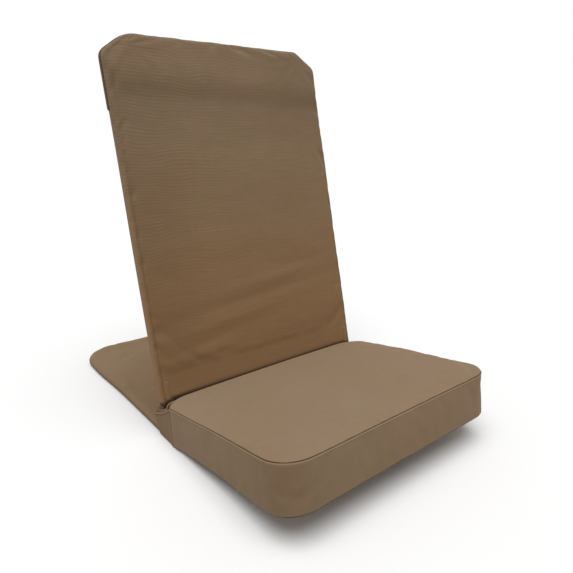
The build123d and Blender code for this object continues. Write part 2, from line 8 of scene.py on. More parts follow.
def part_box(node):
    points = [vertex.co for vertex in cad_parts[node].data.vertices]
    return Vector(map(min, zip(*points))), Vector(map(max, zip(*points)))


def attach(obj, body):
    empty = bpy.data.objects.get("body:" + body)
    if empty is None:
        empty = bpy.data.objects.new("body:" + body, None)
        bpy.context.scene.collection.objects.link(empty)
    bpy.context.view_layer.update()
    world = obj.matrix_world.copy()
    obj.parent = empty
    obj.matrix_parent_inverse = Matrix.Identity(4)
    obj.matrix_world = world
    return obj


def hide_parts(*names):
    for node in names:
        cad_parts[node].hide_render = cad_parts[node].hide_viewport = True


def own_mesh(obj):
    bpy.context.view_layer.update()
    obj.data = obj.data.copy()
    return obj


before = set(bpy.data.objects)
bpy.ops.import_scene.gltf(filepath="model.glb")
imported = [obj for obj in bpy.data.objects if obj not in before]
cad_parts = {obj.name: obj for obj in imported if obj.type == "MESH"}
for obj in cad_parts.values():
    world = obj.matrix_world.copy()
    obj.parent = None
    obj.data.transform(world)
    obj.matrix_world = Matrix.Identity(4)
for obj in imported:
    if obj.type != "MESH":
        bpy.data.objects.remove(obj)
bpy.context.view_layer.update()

# Metres, +Z up, +Y to the rear, and left is -X. Seat pieces are drawn in the seat frame, whose
# z = 0 is the seat's underside, and backrest pieces in the panel frame: x across, y up the slope,
# z out of the front.

# ---- sizes shared with the solids ----
MM = 0.001
SEAT_TILT = math.radians(9.0)
BACK_LEAN = math.radians(4.2)
BEND_AHEAD = 12 * MM           # the bend, ahead of the foot of the backrest's front face
FIT = 0.2 * MM
SEAT_DEPTH = 296 * MM
SEAT_THICKNESS = 63.5 * MM
SEAT_CROWN = 3 * MM
SEAT_PULL_IN = 2 * MM
SEAT_FRONT_RADIUS = 42 * MM
SEAT_REAR_RADIUS = 30 * MM
REAR_GAP = 2 * MM
TAIL_LENGTH = 405 * MM
TAIL_RADIUS = 56 * MM
TAIL_THICKNESS = 12.4 * MM
TAIL_MOUTH = 42 * MM           # the sleeve's mouth, behind the bend
BACK_LENGTH = 605 * MM
BACK_HEM = 54 * MM
BACK_THICKNESS = 15.4 * MM
BACK_CORNER_ACROSS = 40 * MM
BACK_CORNER_DOWN = 28 * MM
BACK_CORNER_RADIUS = 15 * MM
NOTCH_WIDTH = 27 * MM
NOTCH_TOP = 95.4 * MM          # along the slope
SLOT_TOP = 90.4 * MM
SLOT_INNER = 183.7 * MM
SLOT_OUTER = 188.7 * MM
HOOD_DEPTH = 95 * MM
CELL = 5 * MM                  # cloth coordinates of a cut edge

seat_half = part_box("seat_cover_boxing")[1].x
back_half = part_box("back_cover_front")[1].x
tail_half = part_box("tail_cover_bottom")[1].x
bend_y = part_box("tail_cover_bottom")[0].y - FIT

FLOOR_FRAME = Matrix.Translation((0, bend_y, 0))
TILT = Matrix.Rotation(-SEAT_TILT, 4, "X")
SEAT_FRAME = FLOOR_FRAME @ TILT @ Matrix.Translation((0, BEND_AHEAD, 0))
SINE, COSINE = math.sin(BACK_LEAN), math.cos(BACK_LEAN)
PANEL_AXES = Matrix(((1, 0, 0, 0), (0, SINE, -COSINE, 0), (0, COSINE, SINE, 0), (0, 0, 0, 1)))
PANEL_FRAME = SEAT_FRAME @ PANEL_AXES


# ---- outlines ----
OUTLINE_STEPS = 3999           # round an outline while it is cut into sides


def rising(value, start, reach):
    """0 up to start, 1 from start + reach on, in mm, and smooth between."""
    share = np.clip((value / MM - start) / reach, 0, 1)
    return share * share * (3 - 2 * share)


def bell(away, reach):
    """1 at no distance, falling to 0; its reach is in mm."""
    return np.exp(-((away / MM / reach) ** 2))


def run_of(path):
    """Length along a polyline at each of its points."""
    return np.concatenate([[0], np.cumsum(np.linalg.norm(np.diff(path, axis=0), axis=1))])


def rounded(corners, radii, arc_points=24):
    """A closed polyline through a polygon whose corners are rounded."""
    corners = np.array(corners, float)
    path = []
    for index, (corner, radius) in enumerate(zip(corners, radii)):
        back = corners[index - 1] - corner
        ahead = corners[(index + 1) % len(corners)] - corner
        back /= np.linalg.norm(back)
        ahead /= np.linalg.norm(ahead)
        opening = math.acos(float(back @ ahead))
        middle = (back + ahead) / np.linalg.norm(back + ahead)
        centre = corner + middle * radius / math.sin(opening / 2)
        start = corner + back * (radius / math.tan(opening / 2)) - centre
        for step in np.linspace(0, math.pi - opening, arc_points):
            c, s = math.cos(step), math.sin(step)
            path.append(centre + (c * start[0] - s * start[1], s * start[0] + c * start[1]))
    return np.array(path)


def evenly(stretch, count):
    """count + 1 points along a polyline, evenly spaced."""
    length = run_of(stretch)
    at = np.linspace(0, length[-1], count + 1)
    return np.stack([np.interp(at, length, stretch[:, k]) for k in range(2)], 1)


def split_at(path, marks):
    """A closed polyline cut into one stretch between each two marks, given as nearby points."""
    dense = evenly(np.vstack([path, path[:1]]), OUTLINE_STEPS)[:-1]
    found = [int(np.argmin(np.linalg.norm(dense - mark, axis=1))) for mark in np.array(marks)]
    spans = zip(found, found[1:] + found[:1])
    return [np.roll(dense, -first, 0)[: (last - first) % len(dense) + 1] for first, last in spans]


def climb(stretch, x, heights, count):
    """A side from its foot up: exact heights at x first, then evenly spaced points."""
    lower = np.stack([np.full(len(heights), x), heights], 1)
    beyond = stretch[stretch[:, 1] > heights[-1]]
    return np.vstack([lower, evenly(np.vstack([lower[-1:], beyond]), count)[1:]])


def coons(low, right, high, left):
    """A grid of points between four sides; left and right run upwards, low and high run across."""
    u = np.linspace(0, 1, len(low))[None, :, None]
    v = np.linspace(0, 1, len(left))[:, None, None]
    ruled_v = (1 - v) * low[None] + v * high[None]
    ruled_u = (1 - u) * left[:, None] + u * right[:, None]
    flat = (1 - u) * (1 - v) * low[0] + u * (1 - v) * low[-1] + (1 - u) * v * high[0] + u * v * high[-1]
    return ruled_v + ruled_u - flat


def ring_of(sides):
    """One closed ring from four sides (low, right, high, left)."""
    low, right, high, left = sides
    return np.concatenate([low[:-1], right[:-1], high[:0:-1], left[:0:-1]])


def edge_of(grid):
    """What stands round the edge of a grid, anticlockwise from its first corner."""
    return ring_of([grid[0], grid[:, -1], grid[-1], grid[:, 0]])


def with_height(points, height):
    return np.concatenate([points, np.broadcast_to(height, points.shape[:-1])[..., None]], -1)


def mirrored(values):
    """Places across, and their mirror images before them."""
    return [-value for value in values[::-1]] + list(values)


def near(points, x, y, reach):
    """1 at a place of the plan, falling to 0 round it; its reach is in mm."""
    return bell(np.hypot(points[..., 0] - x, points[..., 1] - y), reach)


def rough(points, *layers):
    """Smooth noise at each point. A layer has its stretch along each axis, shift and size in mm."""
    total = np.zeros(points.shape[:-1])
    for *stretch, shift, size in layers:
        places = points * np.array(stretch) + (0, 0, shift)
        values = [noise.noise(Vector(place)) for place in places.reshape(-1, 3)]
        total += np.array(values).reshape(total.shape) * size * MM
    return total


# ---- pads: a front grid, rings round the edge, a rear grid ----
def plain_mesh(name, points, faces):
    mesh = bpy.data.meshes.new(name)
    mesh.from_pydata([tuple(p) for p in points], [], faces)
    return mesh


def pad_mesh(name, pad):
    """The mesh of a pad, with its cloth coordinates, seams and painted light, and tone."""
    front, rings, rear = pad["front"], pad["rings"], pad["rear"]
    gone = pad.get("gone", set())
    flat = pad.get("flat", [0, 1])
    ny, nx = front.shape[0] - 1, front.shape[1] - 1
    width = nx + 1
    grid = width * (ny + 1)
    edge = edge_of(np.arange(grid).reshape(ny + 1, width)).tolist()
    count = len(edge)
    rear_start = grid + len(rings) * count
    points = np.vstack([front.reshape(-1, 3)] + rings + [rear.reshape(-1, 3)])
    levels = [edge]
    levels += [list(range(grid + k * count, grid + (k + 1) * count)) for k in range(len(rings))]
    levels += [[rear_start + index for index in edge]]
    outer = points[levels[len(levels) // 2]]
    around = run_of(np.vstack([outer, outer[:1]]))
    faces, coordinates = [], []

    def add(face, cloth):
        faces.append(face)
        coordinates.extend(cloth)

    for row in range(ny):
        for column in range(nx):
            if (row, column) in gone:
                continue
            first = row * width + column
            face = [first, first + 1, first + width + 1, first + width]
            for side in (face, [rear_start + index for index in face[::-1]]):
                add(side, [tuple(points[index][flat]) for index in side])
    for i, (a, b) in enumerate(zip(edge, edge[1:] + edge[:1])):
        if (min(a // width, b // width, ny - 1), min(a % width, b % width, nx - 1)) in gone:
            continue
        j = (i + 1) % count
        down = 0.0
        for above, below in zip(levels, levels[1:]):
            lower = down + float(np.linalg.norm(points[below[i]] - points[above[i]]))
            cloth = [(down, around[i + 1]), (down, around[i]), (lower, around[i]), (lower, around[i + 1])]
            add([above[j], above[i], below[i], below[j]], cloth)
            down = lower
    for row, column in gone:
        first = row * width + column
        walls = {
            (0, -1): (first, first + width),
            (0, 1): (first + width + 1, first + 1),
            (1, 0): (first + width, first + width + 1),
        }
        for (up, across), (p, q) in walls.items():
            beside = (row + up, column + across)
            if beside in gone or not (0 <= beside[1] < nx and beside[0] < ny):
                continue
            add([p, q, rear_start + q, rear_start + p], [(0, 0), (CELL, 0), (CELL, CELL), (0, CELL)])
            if row == 0 and up == 0:
                i = edge.index(column if across < 0 else column + 1)
                cap = [level[i] for level in levels]
                add(cap if across > 0 else cap[::-1], [(0, k * MM) for k in range(len(cap))])
    mesh = plain_mesh(name, points, faces)
    cloth = mesh.uv_layers.new(name="cloth")
    cloth.data.foreach_set("uv", np.array(coordinates, np.float32).ravel())
    shade = np.zeros(len(points), np.float32)
    if "front_shade" in pad:
        shade[:grid] = pad["front_shade"].ravel()
    for level, value in pad.get("shade", {}).items():
        shade[levels[level]] = value
    tone = pad["tone"](points).astype(np.float32) if "tone" in pad else 0 * shade
    for kind, values in (("seam_and_painted_light", shade), ("tone", tone)):
        mesh.attributes.new(kind, "FLOAT", "POINT").data.foreach_set("value", values)
    mesh.validate()
    mesh.polygons.foreach_set("use_smooth", [True] * len(mesh.polygons))
    cells = 2 * (nx * ny - len(gone))
    sides = [pad.get("ring_material", 0)] * (len(mesh.polygons) - cells)
    mesh.polygons.foreach_set("material_index", [0] * cells + sides)
    return mesh


def new_object(name, mesh, matrix=Matrix.Identity(4)):
    """A mesh object drawn in one of the frames, its place taken into its mesh."""
    mesh.transform(matrix)
    piece = bpy.data.objects.new(name, mesh)
    bpy.context.scene.collection.objects.link(piece)
    return piece


CLOTH = {
    "quality": 5,
    "mass": 0.3,
    "tension_stiffness": 30,
    "compression_stiffness": 30,
    "shear_stiffness": 15,
    "bending_stiffness": 3,
    "use_pressure": True,
    "vertex_group_mass": "held",
}
CLOTH_FRAMES = 20


def places_of(mesh):
    flat = np.zeros(len(mesh.vertices) * 3)
    mesh.vertices.foreach_get("co", flat)
    return flat.reshape(-1, 3)


def inflate(pad, held_levels, pressure, cap):
    """Cloth filled with a little pressure; held levels stay, and no point moves more than cap."""
    mesh = pad_mesh("filling", pad)
    piece = new_object("filling", mesh)
    rows, columns = pad["front"].shape[:2]
    grid, count = rows * columns, len(pad["rings"][0])
    starts = [grid + k * count for k in range(len(pad["rings"]) + 1)]
    held = list(range(starts[-1], len(mesh.vertices)))
    for level in held_levels:
        held += range(starts[level - 1], starts[level])
    held += [row * columns + column for row, column in pad.get("held_cells", [])]
    piece.vertex_groups.new(name="held").add(held, 1.0, "REPLACE")
    rest = places_of(mesh)
    settings = piece.modifiers.new("Cloth", "CLOTH").settings
    for setting, value in CLOTH.items():
        setattr(settings, setting, value)
    settings.shrink_min = pad["shrink"]
    settings.uniform_pressure_force = pressure
    settings.effector_weights.gravity = 0
    for number in range(1, CLOTH_FRAMES + 1):
        bpy.context.scene.frame_set(number)
    shown = piece.evaluated_get(bpy.context.evaluated_depsgraph_get())
    change = places_of(shown.data) - rest
    size = np.linalg.norm(change, axis=1, keepdims=True)
    change *= np.minimum(1, cap / np.maximum(size, 1e-9))
    if "give" in pad:
        change *= pad["give"](rest)[:, None]
    moved = rest + change
    pad["front"] = moved[:grid].reshape(rows, columns, 3)
    pad["rings"] = [moved[first:last] for first, last in zip(starts, starts[1:])]
    pad["rear"] = moved[-grid:].reshape(rows, columns, 3)
    bpy.data.objects.remove(piece)
    bpy.context.scene.frame_set(1)


def add_seam(pad, level, profile_in, profile_out):
    """Rings close to the ring at level. A profile entry is distance and rise in mm, and shade."""
    front, rings, rear = pad["front"], pad["rings"], pad["rear"]
    before = edge_of(front) if level == 1 else rings[level - 2]
    at = rings[level - 1]
    after = edge_of(rear) if level == len(rings) else rings[level]
    out = np.cross(np.roll(at, -1, 0) - np.roll(at, 1, 0), after - before)
    out /= np.linalg.norm(out, axis=1, keepdims=True)
    if ((at - at.mean(0)) * out).sum() < 0:
        out = -out
    made, shades = [], []

    def add_beside(beside, profile):
        way = beside - at
        space = np.linalg.norm(way, axis=1, keepdims=True)
        share = np.minimum(1, 0.8 * space / (max(entry[0] for entry in profile) * MM))
        for distance, rise, shade in profile:
            made.append(at + way / space * (distance * MM) * share + out * (rise * MM) * share)
            shades.append(shade)

    add_beside(before, profile_in[::-1])
    room = np.minimum(np.linalg.norm(before - at, axis=1), np.linalg.norm(after - at, axis=1))
    made.append(at - out * pad["line_depth"] * np.clip(room / (3 * MM), 0, 1)[:, None])
    shades.append(pad["line_shade"])
    add_beside(after, profile_out)
    added = len(made) - 1
    kept = {k if k < level else k + added: s for k, s in pad.get("shade", {}).items() if k != level}
    kept.update({level + offset: value for offset, value in enumerate(shades)})
    pad["rings"] = rings[: level - 1] + made + rings[level:]
    pad["shade"] = kept


# ---- materials ----
class Nodes:
    """A node tree and short ways to add to it; a value is a number, a colour or a socket."""

    def __init__(self, tree):
        self.tree = tree

    def set(self, socket, value):
        if isinstance(value, bpy.types.NodeSocket):
            self.tree.links.new(value, socket)
        else:
            socket.default_value = (*value, 1) if isinstance(value, tuple) else value

    def add(self, kind, inputs, output=0, **settings):
        """A new node with its settings and inputs; gives one of its outputs."""
        node = self.tree.nodes.new("ShaderNode" + kind)
        for name, value in settings.items():
            setattr(node, name, value)
        for name, value in inputs.items():
            self.set(node.inputs[name], value)
        return node.outputs[output]

    def math(self, operation, first, second):
        return self.add("Math", {0: first, 1: second}, operation=operation)

    def times(self, first, second):
        return self.math("MULTIPLY", first, second)

    def wave(self, along, pitch):
        return self.add("Math", {0: self.times(along, 2 * math.pi / pitch)}, operation="SINE")

    def noise(self, vector, scale, detail=3.0, roughness=0.5):
        inputs = {"Vector": vector, "Scale": scale, "Detail": detail, "Roughness": roughness}
        return self.add("TexNoise", inputs, "Fac")

    def mix(self, factor, first, second, blend="MIX"):
        inputs = {0: factor, 6: first, 7: second}
        return self.add("Mix", inputs, 2, data_type="RGBA", blend_type=blend)

    def ramp(self, value, low, high, to_low, to_high):
        return self.add("MapRange", dict(enumerate((value, low, high, to_low, to_high))))

    def bump(self, height, strength, distance):
        return self.add("Bump", {"Height": height, "Strength": strength, "Distance": distance})

    def attribute(self, name):
        return self.add("Attribute", {}, "Fac", attribute_name=name)

    def parts(self, vector):
        return self.add("SeparateXYZ", {0: vector}).node.outputs

    def place(self):
        return self.add("TexCoord", {}, "Object")


def new_material(name, make, *choices, **more):
    """A material whose shader's inputs come from make(nodes, ...)."""
    material = bpy.data.materials.new(name)
    material.use_nodes = True
    nodes = Nodes(material.node_tree)
    shader = material.node_tree.nodes["Principled BSDF"]
    for socket, value in make(nodes, *choices, **more).items():
        nodes.set(shader.inputs[socket], value)
    return material


CANVAS = (0.292, 0.203, 0.128)
CANVAS_WARM = (0.288, 0.190, 0.114)
CANVAS_OLIVE = (0.268, 0.200, 0.112)
CANVAS_FOOT_SHADE = (0.285, 0.166, 0.078)
SEAM_AND_SHADE_DARK = (0.034, 0.014, 0.005)
DARKENING_AND_SHADE = (0.02, 0.012, 0.006)
PAINTED_HIGHLIGHT = (0.62, 0.47, 0.33)
THREAD_PITCH = 1.1 * MM
RIB_PITCH = 4.8 * MM


def woven(nodes, colour=CANVAS, rib_share=1.0, streak_share=1.0, fading=False):
    """Canvas: fine threads, slubby crosswise ribs, mottled dye, dark seams, painted shade and highlight.

    Where fading is set, the ribs are pressed flat towards the right side and the foot.
    """
    across, down, _ = nodes.parts(nodes.add("UVMap", {}, uv_map="cloth"))
    place = nodes.place()
    slub = nodes.noise(place, 55.0, 4.0, 0.7)
    patch = nodes.noise(place, 5.5, 3.0, 0.55)
    mottle = nodes.noise(place, 13.0, 4.0, 0.6)
    tone = nodes.attribute("tone")
    along = nodes.math("ADD", down, nodes.times(nodes.noise(place, 9.0, 2.0), 0.03))
    rib = nodes.times(nodes.wave(along, RIB_PITCH), nodes.ramp(slub, 0.3, 0.7, 0.15, 1.0))
    if fading:
        rib = nodes.times(rib, nodes.ramp(nodes.parts(place)[0], -0.17, 0.10, 1.0, 0.3))
        rib = nodes.times(rib, nodes.ramp(tone, 0.3, 1.0, 1.0, 0.3))
    thread = nodes.times(nodes.wave(across, THREAD_PITCH), nodes.wave(down, THREAD_PITCH))
    warm = tuple(c * w / b for c, w, b in zip(colour, CANVAS_WARM, CANVAS))
    olive = tuple(c * w / b for c, w, b in zip(colour, CANVAS_OLIVE, CANVAS))
    base = nodes.mix(nodes.ramp(patch, 0.38, 0.62, 0, 0.75), colour, warm)
    base = nodes.mix(nodes.ramp(mottle, 0.45, 0.75, 0, 0.7), base, olive)
    # positive tone: painted shade, darker and warmer towards the backrest's foot
    base = nodes.mix(tone, base, CANVAS_FOOT_SHADE)
    # negative tone darkens: painted shade over the tail, and the seat's darker front left corner
    base = nodes.mix(nodes.ramp(tone, -1, 0, 1, 0), base, DARKENING_AND_SHADE)
    long = nodes.add("CombineXYZ", {0: nodes.times(across, 16.0), 1: nodes.times(along, 420.0)})
    streak = nodes.noise(long, 1.0, 2.0, 0.6)
    light = nodes.ramp(rib, -1, 1, 1 - 0.075 * rib_share, 1 + 0.06 * rib_share)
    streaks = nodes.ramp(streak, 0.3, 0.7, 1 - 0.06 * streak_share, 1 + 0.05 * streak_share)
    light = nodes.times(light, streaks)
    light = nodes.times(light, nodes.ramp(thread, -1, 1, 0.95, 1.04))
    light = nodes.times(light, nodes.ramp(slub, 0.3, 0.7, 0.965, 1.03))
    base = nodes.mix(1.0, base, nodes.add("CombineXYZ", {0: light, 1: light, 2: light}), "MULTIPLY")
    # seam attribute: dark seams, with painted shade in creases and folds and painted highlight on ridges
    seam_and_painted_light = nodes.attribute("seam_and_painted_light")
    base = nodes.mix(nodes.ramp(seam_and_painted_light, 0, 1, 0, 1), base, SEAM_AND_SHADE_DARK)
    # negative seam values: painted highlight on ridges, hems and the backrest's sides
    base = nodes.mix(nodes.ramp(seam_and_painted_light, 0, -1, 0, 0.4), base, PAINTED_HIGHLIGHT)
    height = nodes.math("ADD", nodes.times(rib, 0.10 * rib_share), nodes.times(thread, 0.05))
    height = nodes.math("ADD", height, nodes.times(slub, 0.12))
    height = nodes.math("ADD", height, nodes.times(streak, 0.16 * streak_share))
    return {
        "Base Color": base,
        "Normal": nodes.bump(height, 0.55, 0.8 * MM),
        "Roughness": nodes.ramp(mottle, 0.3, 0.7, 0.86, 0.97),
        "Sheen Weight": 0.12,
        "Sheen Roughness": 0.5,
        "Specular IOR Level": 0.18,
    }


def grained(nodes, colour, roughness, metallic=0.0, grain=420.0):
    """Paint, plating or moulded plastic with a fine grain and worn tone."""
    place = nodes.place()
    tone = nodes.noise(place, 30.0, 4.0)
    lighter = tuple(min(1.0, c * 1.25 + 0.01) for c in colour)
    return {
        "Base Color": nodes.mix(nodes.ramp(tone, 0.4, 0.65, 0, 1), colour, lighter),
        "Roughness": nodes.ramp(tone, 0.3, 0.7, roughness * 0.85, min(1.0, roughness * 1.15)),
        "Normal": nodes.bump(nodes.noise(place, grain, 3.0), 0.4, 0.08 * MM),
        "Metallic": metallic,
    }


canvas = new_material("canvas", woven)
canvas_smooth = new_material("canvas_smooth", woven, (0.282, 0.194, 0.119), 0.3, 0.25)
# painted shade: darker copies of the canvas for the boxing, flaps and gussets, the backrest and the tail
canvas_boxing_shaded = new_material("canvas_boxing_shaded", woven, (0.236, 0.147, 0.075), 0.5, 0.8)
canvas_back_shaded = new_material("canvas_back_shaded", woven, (0.274, 0.191, 0.118), 1.3, 1.0, fading=True)
canvas_tail_shaded = new_material("canvas_tail_shaded", woven, (0.270, 0.179, 0.103), 0.6, 0.8)
paint = new_material("frame_paint", grained, (0.018, 0.018, 0.018), 0.42)
plated = new_material("fastener", grained, (0.55, 0.55, 0.52), 0.32, 1.0)
nylon = new_material("bush", grained, (0.035, 0.035, 0.035), 0.5)
zip_metal = new_material("zip_metal", grained, (0.30, 0.25, 0.17), 0.38, 1.0)
zip_plastic = new_material("zip_teeth", grained, (0.11, 0.075, 0.045), 0.45)
thread_material = new_material("thread", grained, (0.25, 0.175, 0.105), 0.8, grain=900.0)


def finish_piece(piece, material, body, nodes=(), subdivision=0):
    """Material, subdivision, the CAD nodes it stands for, and the body it rides on."""
    piece.data.materials.clear()
    for finish in material if isinstance(material, list) else [material]:
        piece.data.materials.append(finish)
    if subdivision:
        modifier = piece.modifiers.new("Smooth", "SUBSURF")
        modifier.levels = modifier.render_levels = subdivision
    if nodes:
        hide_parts(*nodes)
    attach(piece, body)
    return piece


def new_pad(name, pad, matrix, material, body, nodes=(), subdivision=1):
    """The finished object of a pad."""
    piece = new_object(name, pad_mesh(name, pad), matrix)
    return finish_piece(piece, material, body, nodes, subdivision)


# ---- seat cushion ----
SEAT_COUNTS = (80, 59)
REAR_SOFTER = 9 * MM           # the rear corners are rounder at the top
BOXING_ROWS = 12
SEAT_EDGE_ROUND = 2.5 * MM
BOXING_TOP = 61 * MM           # points below it lie on the boxing


def seat_sides(inset, height):
    """The cushion's outline at a height: four sides with the corners' middles at their ends."""
    rear = height * math.tan(BACK_LEAN) - REAR_GAP - inset
    half = seat_half - inset
    front = -SEAT_DEPTH + inset
    corners = [(-half, front), (half, front), (half, rear), (-half, rear)]
    rear_radius = SEAT_REAR_RADIUS + REAR_SOFTER * height / SEAT_THICKNESS - inset
    radii = [SEAT_FRONT_RADIUS - inset] * 2 + [rear_radius] * 2
    marks = []
    for (x, y), radius in zip(corners, radii):
        set_in = radius * (1 - math.sqrt(0.5))
        marks.append((x - math.copysign(set_in, x), y + (set_in if y == front else -set_in)))
    low, right, high, left = split_at(rounded(corners, radii), marks)
    nx, ny = SEAT_COUNTS
    return [evenly(low, nx), evenly(right, ny), evenly(high, nx)[::-1], evenly(left, ny)[::-1]]


def corner_out(x, y):
    """How far the rear corners' front ends stand out, as if the corners were cut."""
    return np.sign(x) * 2.8 * MM * bell(np.hypot(np.abs(x) - seat_half, y + 20 * MM), 13)


def drawn_in(points):
    """Sides and front pulled in at their middles."""
    x, y = points[..., 0], points[..., 1]
    x = x + corner_out(x, y)
    from_middle = (y + SEAT_DEPTH / 2) / (SEAT_DEPTH / 2)
    share_y = np.clip(1 - from_middle**2, 0, 1)
    share_x = np.clip(1 - (x / seat_half) ** 2, 0, 1)
    moved = points.copy()
    moved[..., 0] = x * (1 - SEAT_PULL_IN / seat_half * share_y)
    moved[..., 1] = y + SEAT_PULL_IN * share_x * np.clip(-from_middle, 0, 1)
    return moved


def crown(points):
    """Height of the seat's top."""
    reach = seat_half**2 + (SEAT_DEPTH / 2) ** 2
    away = points[..., 0] ** 2 + (points[..., 1] + SEAT_DEPTH / 2) ** 2
    return SEAT_THICKNESS + SEAT_CROWN * (1 - away / reach)


def underside(points):
    """Height of the seat's bottom, trimmed to the floor behind the bend.

    It sags at the left and is drawn up at the front right corner.
    """
    behind = points[..., 1] + BEND_AHEAD
    flat = np.maximum(0, behind * math.tan(SEAT_TILT) + 1.3 * MM)
    sag = near(points, -seat_half, -234 * MM, 52)
    return flat - 3.6 * MM * sag + 3.0 * MM * near(points, seat_half, -SEAT_DEPTH, 32)


def seam_lift(points):
    """The top seam stands up at the front corners and the right side, and sags at the left side."""
    left_front = near(points, -seat_half, -SEAT_DEPTH, 58)
    right_front = near(points, seat_half, -SEAT_DEPTH, 55)
    left_side = near(points, -seat_half, -72 * MM, 62)
    right_side = near(points, seat_half, -125 * MM, 105)
    front_middle = near(points, 30 * MM, -SEAT_DEPTH, 90)
    raised = 2.4 * left_front + 1.0 * right_front + 4.0 * right_side
    return (raised - 2.3 * left_side - 0.5 * front_middle) * MM


def seat_tone(points):
    """The boxing is darker round its front left corner."""
    return -0.17 * near(points, -seat_half, -SEAT_DEPTH, 45) * (points[:, 2] < BOXING_TOP)


def seat_give(points):
    """How freely the cushion fills: not at the hinge, and less on the boxing than on top."""
    return rising(-points[:, 1], 24, 50) * np.where(points[:, 2] > BOXING_TOP, 1.0, 0.4)


def seat_pad():
    """The cushion's arrays: crowned top, boxing rings with a soft edge, flat bottom."""
    top = drawn_in(coons(*seat_sides(SEAT_EDGE_ROUND, SEAT_THICKNESS)))
    bottom = drawn_in(coons(*seat_sides(SEAT_EDGE_ROUND, 0)))
    top_edge = drawn_in(ring_of(seat_sides(0.3 * MM, SEAT_THICKNESS)))
    bottom_edge = drawn_in(ring_of(seat_sides(0.3 * MM, 0)))
    narrow = near(top_edge, seat_half, -SEAT_DEPTH, 70)[:, None]
    high = crown(top_edge) - 1.2 * MM + seam_lift(top_edge)
    low = underside(bottom_edge) + 1.2 * MM
    rings = []
    for share in np.linspace(0, 1, BOXING_ROWS + 1):
        plan = (top_edge * (1 - share) + bottom_edge * share) * (1 - 0.006 * share * narrow)
        rings.append(with_height(plan, high * (1 - share) + low * share))
    return {
        "front": with_height(top, crown(top) + seam_lift(top)),
        "rings": rings,
        "rear": with_height(bottom, underside(bottom)),
        "line_shade": 1.0,
        "line_depth": 1.3 * MM,
        "shrink": -0.012,
        "give": seat_give,
        "ring_material": 1,
        "tone": seat_tone,
    }


def make_seat():
    pad = seat_pad()
    last = len(pad["rings"])
    inflate(pad, [1, last], 3.0, 3.5 * MM)
    pad["front"][..., 2] += rough(pad["front"], (9, 11, 0, 0.3, 0.5))
    for ring in pad["rings"][1:]:
        clear = rising(-ring[:, 1], 34, 26)
        ripple = rough(ring, (20, 20, 6, 0, 0.6), (60, 60, 10, 5, 0.25))
        wave = rough(ring, (24, 24, 0, 9, 1.1)) * (1 - ring[:, 2] / SEAT_THICKNESS)
        away = ring * (1, 1, 0) + (0, SEAT_DEPTH / 2, 0)
        away /= np.linalg.norm(away, axis=1, keepdims=True)
        ring += away * (ripple * clear)[:, None]
        ring[:, 2] += wave * clear
    # seam profiles: dark seam lines widened with painted shade, painted highlight on the ridges beside them
    add_seam(pad, last, [(1.2, 0.3, -0.2), (2.6, 0.1, 0)], [(1.2, 0, 0.5)])
    top_in = [(0.9, 0.15, 0.85), (2.0, 0.45, 0.1), (3.2, 0.35, 0.0)]
    top_out = [(0.9, 0.45, -0.2), (2.0, 0.5, -0.5), (3.4, 0.05, 0.0)]
    add_seam(pad, 1, top_in, top_out)
    covers = ["seat_cover_top", "seat_cover_boxing", "seat_cover_bottom", "seat_foam", "seat_sling"]
    piece = new_pad("seat_cushion", pad, SEAT_FRAME, [canvas_smooth, canvas_boxing_shaded], "base", covers)
    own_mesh(piece)


# ---- tail ----
TAIL_COUNTS = (78, 80)
MOUTH_ROWS = 9
TAIL_SHELL = [(1.6, 11.4), (0.4, 9.2), (0, 6.2), (0.5, 3.2), (1.9, 1.0)]  # inset and height, mm
TAIL_SEAM_LEVEL = 3
TAIL_INSET = 4.2 * MM
TAIL_SHADE = -0.03              # painted shade of the backrest, a little darker all over


def in_mouth(points):
    return points[..., 1] < TAIL_MOUTH - 0.5 * MM


def tail_sides(inset):
    """The tail's outline from the bend to its rear; rows of the sleeve's mouth are exact."""
    half = tail_half - inset
    rear = TAIL_LENGTH - inset
    radius = TAIL_RADIUS - inset
    front = FIT + min(inset, 0.5 * MM)
    corners = [(-half, front), (half, front), (half, rear), (-half, rear)]
    small = 0.4 * MM
    set_in = radius * (1 - math.sqrt(0.5))
    marks = corners[:2] + [(half - set_in, rear - set_in), (-half + set_in, rear - set_in)]
    low, right, high, left = split_at(rounded(corners, [small, small, radius, radius]), marks)
    nx, ny = TAIL_COUNTS
    rows = np.append(np.linspace(front, TAIL_MOUTH - MM, MOUTH_ROWS), TAIL_MOUTH)

    def upwards(stretch):
        x = stretch[stretch[:, 1] > TAIL_MOUTH][0, 0]
        return climb(stretch, x, rows, ny - MOUTH_ROWS)

    return [evenly(low, nx), upwards(right), evenly(high, nx)[::-1], upwards(left[::-1])]


def spread(ring):
    """The tail's left edge stands out a little ahead of its rear corner."""
    moved = ring.copy()
    x, y = ring[..., 0], ring[..., 1]
    moved[..., 0] = x - 3.8 * MM * bell(y - 310 * MM, 75) * rising(-x, 150, 46)
    return moved


def from_tail_edge(points):
    return np.minimum(tail_half - np.abs(points[..., 0]), TAIL_LENGTH - points[..., 1])


def tail_top(points):
    """Height of the sleeve's top: full over the rods, a little sunk between them."""
    sunk = 2.2 * MM * rising(from_tail_edge(points), 10, 26)
    return np.where(in_mouth(points), 1.05 * MM, TAIL_THICKNESS - 0.5 * MM - sunk)


